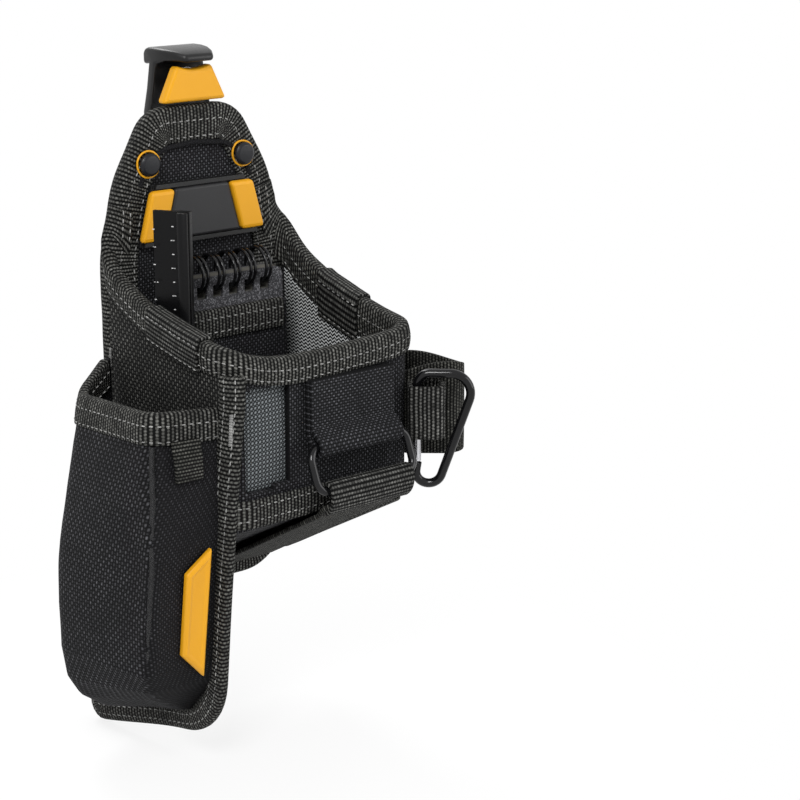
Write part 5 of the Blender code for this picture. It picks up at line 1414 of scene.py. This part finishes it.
def arc(centre, radius, start, end, count):
    return [centre + radius * Vector((math.cos(math.radians(a)), math.sin(math.radians(a))))
            for a in steps(start, end, count)]


def makeRingStrap():
    top, down, drop = ringLine()
    low = top + down * drop
    wrap = strapBook["wire"] + strapBook["slack"] + pouch["webbing"] / 2
    inner = pouch["depth"] + fit + pouch["webbing"] / 2
    outer = inner + pouch["webbing"] + fit
    head = pouch["rimFront"] - leg - edge - pouch["tape"]
    outEnd, inEnd = [top.y + wrap * rise for rise in strapBook["legRises"]]
    line = [Vector((outer, head)), Vector((outer, outEnd))] + arc(top, wrap, *strapBook["topArc"])
    line += [Vector((inner, inEnd)), Vector((inner, head))]
    strapPiece("strap_upper", line, ["hammer_loop_upper"], finish=nylon)
    half, corner = strapBook["ringWidth"] / 2 - strapBook["wire"], strapBook["corner"]
    loop = rounded([(-half, 0, corner), (half, 0, corner), (half, drop, corner), (-half, drop, corner)],
                   closed=True)
    wire = []
    for point in loop:
        spot = top + down * point.y
        wire.append(Vector((strapBook["x"] + point.x, front(spot.x), spot.y)))
    ring = rodPiece("strap_ring_wire", wire, strapBook["wire"], closed=True)
    place(ring, blackSteel, "strap_ring", ["hammer_ring"])
    # the fold goes round the lower bar, then bends under; the tail is tucked in behind its end
    bend, under = strapBook["bend"], strapBook["under"]
    hub = Vector((low.x + wrap - bend, low.y - mm))
    fold = [Vector((low.x - wrap, low.y - mm))] + arc(low, wrap, *strapBook["lowArc"])
    fold += arc(hub, bend, 0, -under, strapBook["bendCells"])
    strapPiece("strap_fold", fold, ["hammer_loop_end"], "strap_ring", spacing=mm, finish=patchWebbing)
    out = Vector((math.cos(math.radians(under)), -math.sin(math.radians(under))))
    run = Vector((out.y, -out.x))
    end = fold[-1]
    tuck = out * -(pouch["webbing"] + strapBook["tuck"])
    foot = Vector((wallBack + fit, panel["bottom"] + strapBook["footRise"]))
    hidden, level, free = strapBook["tailRuns"]
    tail = [end + tuck - run * hidden, end + tuck + run * level,
            end + run * free + tuck * strapBook["freeTuck"], foot]
    lower = strapPiece("strap_lower", rounded([(*p, strapBook["tailRound"]) for p in tail]),
                       ["hammer_loop_lower"], body=None)
    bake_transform(lower)  # it belongs to no body; its place is baked into its mesh


# side loop, carabiner loop and carabiner
sideLoop = {"top": -70.9 * mm, "band": 31 * mm, "droop": 5 * mm, "near": 69.6 * mm, "far": 47.6 * mm,
            "sewn": 9 * mm, "reach": 21 * mm, "root": 3 * mm, "soft": 0.42, "topDrop": 4.2 * mm,
            "topRise": 3.6 * mm, "spacing": 1.5 * mm, "out": (0.75, 0.66)}
hang = {"top": -77.9 * mm, "height": 20 * mm, "length": 14 * mm, "inside": 8.4 * mm, "throat": 0.8 * mm,
        "start": 1.5 * mm, "round": 3.5 * mm, "throatRound": 2 * mm}
clip = {"rod": 1.7 * mm, "width": 27 * mm, "height": 46.5 * mm, "top": -72.4 * mm, "bow": 0.36,
        "gateX": 4.6 * mm, "gateRod": 1.45 * mm, "gateDrop": 8 * mm, "gateLength": 26 * mm,
        "gateEnd": 3 * mm, "noseRound": 4.5 * mm, "topRound": 7.5 * mm, "bowRound": 5 * mm,
        "heelRise": 2 * mm, "heelIn": 0.6, "pinDrop": 0.7}
sideStart = Vector((pouch["rightX"] + fit + pouch["webbing"] / 2, sideLoop["near"]))
sideOut = Vector(sideLoop["out"]).normalized()
sideAhead = Vector((-sideOut.y, sideOut.x))


def hangSpot(reach, aheadBy, z):
    point = sideStart + sideOut * reach + sideAhead * aheadBy
    return Vector((point.x, front(point.y), z))


def bandPiece(name, plan, topOf, low, nodes, finish, rows):
    runs = lengthsOf(plan)

    def spot(col, row):
        z = lerp(topOf(plan[col]), low, row / rows)
        point = Vector((plan[col].x, front(plan[col].y), z))
        point.x += ripple(point, "band")
        return point, (runs[col], z)

    clothPiece(name, len(plan) - 1, rows, spot, pouch["webbing"], finish, nodes)


def makeSideLoops():
    far = Vector((sideStart.x, sideLoop["far"]))
    span = (sideStart - far).dot(sideAhead)
    tip = sideStart + sideOut * sideLoop["reach"]
    end = tip - sideAhead * span
    soft, root, sewn = span * sideLoop["soft"], sideLoop["root"], sideLoop["sewn"]
    plan = rounded([(sideStart.x, sideStart.y - sewn, 0), (*sideStart, root), (*tip, soft), (*end, soft),
                    (*far, root), (far.x, far.y - sewn, 0)])
    plan = evenly(plan, spacing=sideLoop["spacing"])
    widest = max(p.x for p in plan) - sideStart.x

    def topOf(point):  # the band's upper edge rises between its roots and its tip
        share = clampShare((point.x - sideStart.x) / widest)
        return sideLoop["top"] - sideLoop["topDrop"] + sideLoop["topRise"] * math.sin(math.pi * share)

    bandPiece("side_band", plan, topOf, sideLoop["top"] - sideLoop["droop"] - sideLoop["band"],
              ["side_loop"], webbing, rows=24)
    inner = pouch["webbing"] + fit
    outer = inner + pouch["webbing"] + hang["inside"]
    seam = inner + pouch["webbing"] + fit
    start, length = hang["start"], hang["length"]
    local = rounded([(start, inner, 0), (length, inner, hang["round"]), (length, outer, hang["round"]),
                     (start + hang["throat"], outer, hang["throatRound"]), (start, seam, 0)])
    world = evenly([sideStart + sideOut * p.x + sideAhead * p.y for p in local], spacing=mm)
    bandPiece("carabiner_band", world, lambda point: hang["top"], hang["top"] - hang["height"],
              ["carabiner_loop"], patchWebbing, rows=18)


def makeCarabiner():
    ahead = pouch["webbing"] + fit + pouch["webbing"] / 2 + hang["inside"] / 2
    rod, gateX, gateEnd = clip["rod"], clip["gateX"], clip["gateEnd"]
    top = clip["top"] - rod
    bottom = clip["top"] - clip["height"] + rod
    left = gateX - rod * clip["heelIn"]
    right = left + clip["width"] - 2 * rod
    bow = left + (right - left) * clip["bow"]
    gateTop = clip["top"] - clip["gateDrop"]
    pivotZ = gateTop - clip["gateLength"]
    line = rounded([(gateX, gateTop + fit, 0), (gateX, top, clip["noseRound"]),
                    (right, top, clip["topRound"]), (bow, bottom, clip["bowRound"]),
                    (left, bottom + clip["heelRise"], clip["noseRound"]), (gateX, pivotZ - rod, 0)])
    body = rodPiece("carabiner_frame", [hangSpot(p.x, ahead, p.y) for p in line], rod)
    place(body, blackSteel, "carabiner", ["carabiner_body"])
    stops = [pivotZ - clip["gateRod"] * clip["pinDrop"], pivotZ + gateEnd, gateTop - gateEnd, gateTop - fit]
    gate = rodPiece("carabiner_gate_bar", [hangSpot(gateX, ahead, z) for z in stops], clip["gateRod"])
    place(gate, brightSteel, "carabiner_gate", ["carabiner_gate"])


# hook and plate of the clip
# each step of the tip, heel and neck is a pull in mm and a scale
hook = {"front": -9.4 * mm, "back": -4.6 * mm, "half": 10.9 * mm, "low": 34.6 * mm, "top": 40.5 * mm,
        "tip": [((0, -4.4, 0.5), (0.93, 1, 0.74)), ((0, -4.8, -0.1), (0.82, 1, 0.8)),
                ((0, -3.9, -0.8), (0.74, 1, 0.78))],
        "heel": [((0, 2, -0.3), (1, 1, 0.98)), ((0, 1.8, -1.3), (0.97, 1, 0.72))],
        "neck": [((0, 0, -9), (1.12, 1, 1)), ((0, 0, -8.5), (1.14, 1, 1)), ((0, -2.2, -7), (1.08, 0.9, 1)),
                 ((0, 0, -9), (1.1, 1, 1)), ((0, 0, -12), (1.4, 1, 1)), ((0, 0, -52),)],
        "recessLow": 17 * mm, "recessFrame": 1.6 * mm, "recess": 0.9 * mm, "bevel": 1.5 * mm,
        "slot": ((-3.6 * mm, -14 * mm, 25.35 * mm), (3.6 * mm, -2 * mm, 30.55 * mm))}


def makeHook():
    half = hook["half"]
    piece = startBlock("clip_hook", (-half, hook["front"], hook["low"]), (half, hook["back"], hook["top"]))
    for part, test in (
            ("tip", lambda spot, normal: normal.y < -squarely),
            ("heel", lambda spot, normal: normal.y > squarely),
            ("neck", lambda spot, normal: normal.z < -squarely and hook["front"] < spot.y < hook["back"])):
        pick(piece, test)
        for step in hook[part]:
            pull(piece, *step)
    pick(piece, lambda spot, normal: normal.y < -squarely and hook["recessLow"] < spot.z < hook["low"])
    sink(hook["recessFrame"], (0, hook["recess"], 0))
    finishSolid(piece, hook["bevel"], segments=5)
    slot = startBlock("plunger_slot", *hook["slot"])  # the button's plunger goes through here
    applyModifier(piece, "BOOLEAN", object=slot, operation="DIFFERENCE")
    bpy.data.objects.remove(slot)
    smoothBelow(40)
    place(piece, blackPlastic, "pouch", ["clip_plate"])


# spring behind the button: a flat cone of wire, modelled at rest; the real one closes up as the button goes
# in
spring = {"middle": 27.95 * mm, "front": -13.6 * mm, "back": -12 * mm, "wide": 5.4 * mm, "narrow": 4.2 * mm,
          "turns": 2, "cells": 48, "wire": 0.2 * mm, "seat": -11.5 * mm, "keep": 0.28}


def makeSpring():
    coil = []
    for share in steps(0, 1, spring["cells"]):
        angle = share * spring["turns"] * math.tau
        reach = lerp(spring["wide"], spring["narrow"], share)
        coil.append(Vector((reach * math.cos(angle), lerp(spring["front"], spring["back"], share),
                            spring["middle"] + reach * math.sin(angle))))
    piece = rodPiece("button_coil", coil, spring["wire"], sides=3)
    place(piece, brightSteel, "pouch", ["button_spring"])
    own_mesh(piece)


# rivets
rivet = {"x": 21 * mm, "cap": 4.25 * mm, "capHeight": 1.0 * mm, "crownEdge": 1.1 * mm,
         "crown": 0.75 * mm, "capBevel": 0.25 * mm, "shank": 1.6 * mm, "reach": 7.6 * mm,
         "washer": 2.7 * mm, "washerY": 9.2 * mm, "washerThick": 0.7 * mm, "domeEdge": 0.9 * mm,
         "dome": 0.35 * mm, "washerBevel": 0.15 * mm, "ring": 4.75 * mm, "wire": 0.42 * mm,
         "ringGap": 0.55 * mm}


def makeRivets():
    seat = edge + fit + mm + fit
    y = pouch["panelFront"]
    upright = (math.pi / 2, 0, 0)
    addDisc, addRing = bpy.ops.mesh.primitive_cylinder_add, bpy.ops.mesh.primitive_torus_add
    for name, x in (("left", -rivet["x"]), ("right", rivet["x"])):
        cap = startPiece("rivet_cap_" + name, addDisc, (x, y - seat - rivet["capHeight"] / 2, 0),
                         vertices=40, radius=rivet["cap"], depth=rivet["capHeight"], rotation=upright)
        pick(cap, lambda spot, normal: normal.y < -squarely)
        sink(rivet["crownEdge"], (0, -rivet["crown"], 0))
        pick(cap, lambda spot, normal: normal.y > squarely)
        bpy.ops.mesh.inset(thickness=rivet["cap"] - rivet["shank"])
        pull(cap, (0, rivet["reach"] / mm, 0))
        finishSolid(cap, rivet["capBevel"], segments=2, limit=20, smooth=30)
        place(cap, rivetCap, "pouch", ["rivet_" + name])
        washer = startPiece("rivet_washer_" + name, addDisc, (x, y + rivet["washerY"], 0), vertices=32,
                            radius=rivet["washer"], depth=rivet["washerThick"], rotation=upright)
        pick(washer, lambda spot, normal: normal.y > squarely)
        sink(rivet["domeEdge"], (0, rivet["dome"], 0))
        finishSolid(washer, rivet["washerBevel"], segments=2, limit=20, smooth=30)
        place(washer, blackSteel, "pouch", ["rivet_back_" + name])
        ring = startPiece("rivet_collar_" + name, addRing, (x, y - edge - fit - rivet["ringGap"], 0),
                          major_radius=rivet["ring"], minor_radius=rivet["wire"], major_segments=64,
                          minor_segments=10, rotation=upright)
        for vert in ring.data.vertices:  # a pressed ring is never quite true
            vert.co += (vert.co - Vector((x, vert.co.y, 0))).normalized() * ripple(vert.co, "ring")
        activate(ring)
        bpy.ops.object.shade_smooth()
        place(ring, yellow, "pouch", ["rivet_ring_" + name])


# pocket rule: printed ticks, and the rounded rib along one edge
# each row of ticks as its name, left end, pitch, count and length in mm
rule = {"width": 13.9 * mm, "thick": 3 * mm, "top": -12 * mm, "x": -30.7 * mm, "forward": 31 * mm,
        "turn": math.radians(-57), "face": 0.6, "rib": 2.1 * mm, "ribLength": 118 * mm, "ribFlat": 0.55,
        "ribIn": 0.15 * mm, "ribBevel": 0.3 * mm, "ink": (0.06 * mm, 0.1 * mm), "inkHalf": 0.16 * mm,
        "ticks": [("inch", -6.5, 25.4, 4, 1.6), ("quarter", -6.5, 6.35, 17, 0.8),
                  ("half", -6.5, 12.7, 8, 1.1), ("centimetre", 0.4, 10, 11, 1.4),
                  ("five", 0.8, 5, 22, 0.8)]}


def rulePlace():
    spot = Vector((rule["x"], front(rule["forward"]), 0))
    return Matrix.Translation(spot) @ Matrix.Rotation(rule["turn"], 4, "Z")


def makeRuleDetail():
    surface = -rule["thick"] * rule["face"]
    proud, sunk = rule["ink"]
    for name, x, pitch, count, size in rule["ticks"]:
        z = rule["top"] - pitch * mm
        tick = startBlock("rule_ticks_" + name, (x * mm, surface - proud, z - rule["inkHalf"]),
                          ((x + size) * mm, surface + sunk, z + rule["inkHalf"]))
        applyModifier(tick, "ARRAY", count=count, use_relative_offset=False, use_constant_offset=True,
                      constant_offset_displace=(0, 0, -pitch * mm))
        tick.data.transform(rulePlace())
        place(tick, tickInk, "pocket_rule")
    centre = (rule["width"] / 2 - rule["rib"], surface + rule["ribIn"], rule["top"] - rule["ribLength"] / 2)
    edgeRib = startPiece("rule_rib", bpy.ops.mesh.primitive_cylinder_add, centre, (1, rule["ribFlat"], 1),
                         vertices=28, radius=rule["rib"], depth=rule["ribLength"])
    finishSolid(edgeRib, rule["ribBevel"], segments=2, limit=50)
    edgeRib.data.transform(rulePlace())
    place(edgeRib, rulePlastic, "pocket_rule")


# CAD nodes that stay as they are: their finish, and in mm how far moulded edges are softened
nodeFinish = {
    "hub_socket": (blackPlastic, 0.6), "release_button": (yellow, 0.25),
    "button_plunger": (blackPlastic, 0.3), "badge_base": (blackPlastic, 0.25),
    "badge_centre": (greyPlastic, 0.2), "badge_end_left": (yellow, 0.2),
    "badge_end_right": (yellow, 0.2), "notebook_front_cover": (card, 0),
    "notebook_back_cover": (card, 0), "notebook_pages": (paper, 0), "pocket_rule": (rulePlastic, 0.2),
    "inner_pocket_base": (nylon, 0.3), "carabiner_gate_pin": (brightSteel, 0),
    "gate_spring": (brightSteel, 0),
}
softEdge = {"merge": mm / 200, "segments": 2, "limit": math.radians(24)}


def dressNodes():
    for name, (finish, soft) in nodeFinish.items():
        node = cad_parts[name]
        if not node.material_slots:
            node.data.materials.append(finish)
        for held in node.material_slots:
            held.material = finish
        if soft:
            weld = node.modifiers.new("weld", "WELD")
            weld.merge_threshold = softEdge["merge"]
            bevel = node.modifiers.new("soft edges", "BEVEL")
            bevel.width = soft * mm
            bevel.segments = softEdge["segments"]
            bevel.limit_method = "ANGLE"
            bevel.angle_limit = softEdge["limit"]


# camera, light and floor
view = {"place": Vector((-414.1, -632.1, 118.2)) * mm, "azimuth": math.radians(-39.86),
        "elevation": math.radians(16), "lens": 90, "sensor": 36, "near": 0.01}
# each lamp's place, size and power
lamps = {"target": Vector((0, -0.05, -0.09)),
         "set": {"key": ((-0.75, -0.75, 0.78), 0.42, 12), "fill": ((0.7, -0.9, 0.25), 0.7, 4.8),
                 "rim": ((0.1, 0.7, 0.8), 0.5, 7)}}
room = {"light": 0.55, "floorColour": (0.9, 0.9, 0.9, 1), "floorRough": 0.9, "floorSize": 6,
        "floorGap": 0.001, "white": (1, 1, 1, 1), "shadowAt": (-0.03, -0.05, 0),
        "shadow": (0.06, 0.2, 0.8, 1.0)}


def seenShare(tree):  # 1 for rays that show the background itself, in view or in a reflection
    rays = addNode(tree, "ShaderNodeLightPath").outputs
    shown = calc(tree, "MAXIMUM", rays["Is Glossy Ray"], rays["Is Transmission Ray"])
    return calc(tree, "MAXIMUM", rays["Is Camera Ray"], shown)


def makeCamera(scene):
    data = bpy.data.cameras.new("photo camera")
    data.lens = view["lens"]
    data.sensor_width = view["sensor"]
    data.clip_start = view["near"]
    camera = bpy.data.objects.new("photo camera", data)
    scene.collection.objects.link(camera)
    camera.location = view["place"]
    azimuth, elevation = view["azimuth"], view["elevation"]
    back = Vector((math.sin(azimuth) * math.cos(elevation), -math.cos(azimuth) * math.cos(elevation),
                   math.sin(elevation)))
    camera.rotation_euler = back.to_track_quat("Z", "Y").to_euler()
    scene.camera = camera
    scene.view_settings.view_transform = "Standard"


def makeLight(scene):
    for name, (spot, size, power) in lamps["set"].items():
        light = bpy.data.lights.new(name, "AREA")
        light.size = size
        light.energy = power
        lamp = bpy.data.objects.new(name, light)
        scene.collection.objects.link(lamp)
        lamp.location = spot
        lamp.rotation_euler = (Vector(spot) - lamps["target"]).to_track_quat("Z", "Y").to_euler()
    world = bpy.data.worlds.new("white room")
    scene.world = world
    world.use_nodes = True
    tree = world.node_tree
    shade = tree.nodes["Background"]
    shade.inputs["Color"].default_value = room["white"]
    feed(tree, shade.inputs["Strength"], spread(tree, seenShare(tree), 0, 1, room["light"], 1.0))


def makeFloor():
    deselectAll()
    low = cadBounds[0][2] - room["floorGap"]
    bpy.ops.mesh.primitive_plane_add(size=room["floorSize"], location=(0, 0, low))
    floor = bpy.context.object
    floor.name = "floor"
    made, tree, shader = startMaterial("pale floor", room["floorRough"])
    shader.inputs["Base Color"].default_value = room["floorColour"]
    glow = addNode(tree, "ShaderNodeEmission")
    glow.inputs["Color"].default_value = room["white"]
    away = addNode(tree, "ShaderNodeVectorMath", operation="DISTANCE")
    feed(tree, away.inputs[0], solidCoords(tree))
    away.inputs[1].default_value = room["shadowAt"]
    both = addNode(tree, "ShaderNodeMixShader")
    clear = spread(tree, away.outputs["Value"], *room["shadow"])  # the shadow shows near the pouch only
    feed(tree, both.inputs[0], times(tree, seenShare(tree), clear))
    feed(tree, both.inputs[1], shader.outputs[0])
    feed(tree, both.inputs[2], glow.outputs[0])
    feed(tree, tree.nodes["Material Output"].inputs["Surface"], both.outputs[0])
    floor.data.materials.append(made)


def makeStage():
    makeCamera(bpy.context.scene)
    makeLight(bpy.context.scene)
    makeFloor()


makeStage()
print("stage ready")
makePanel()
makeWelt()
makeRim()
makeFrontWall()
makeRightWall()
makeLeftWall()
makeTacks()
print("main pocket ready")
makeToolPocket()
makeTab()
makeTag()
makeSleeve()
makeNotebookWire()
makeRingStrap()
makeSideLoops()
makeCarabiner()
print("loops and carabiner ready")
makeHook()
makeSpring()
makeRivets()
makeRuleDetail()
layStitches()
dressNodes()
print("finishes ready")
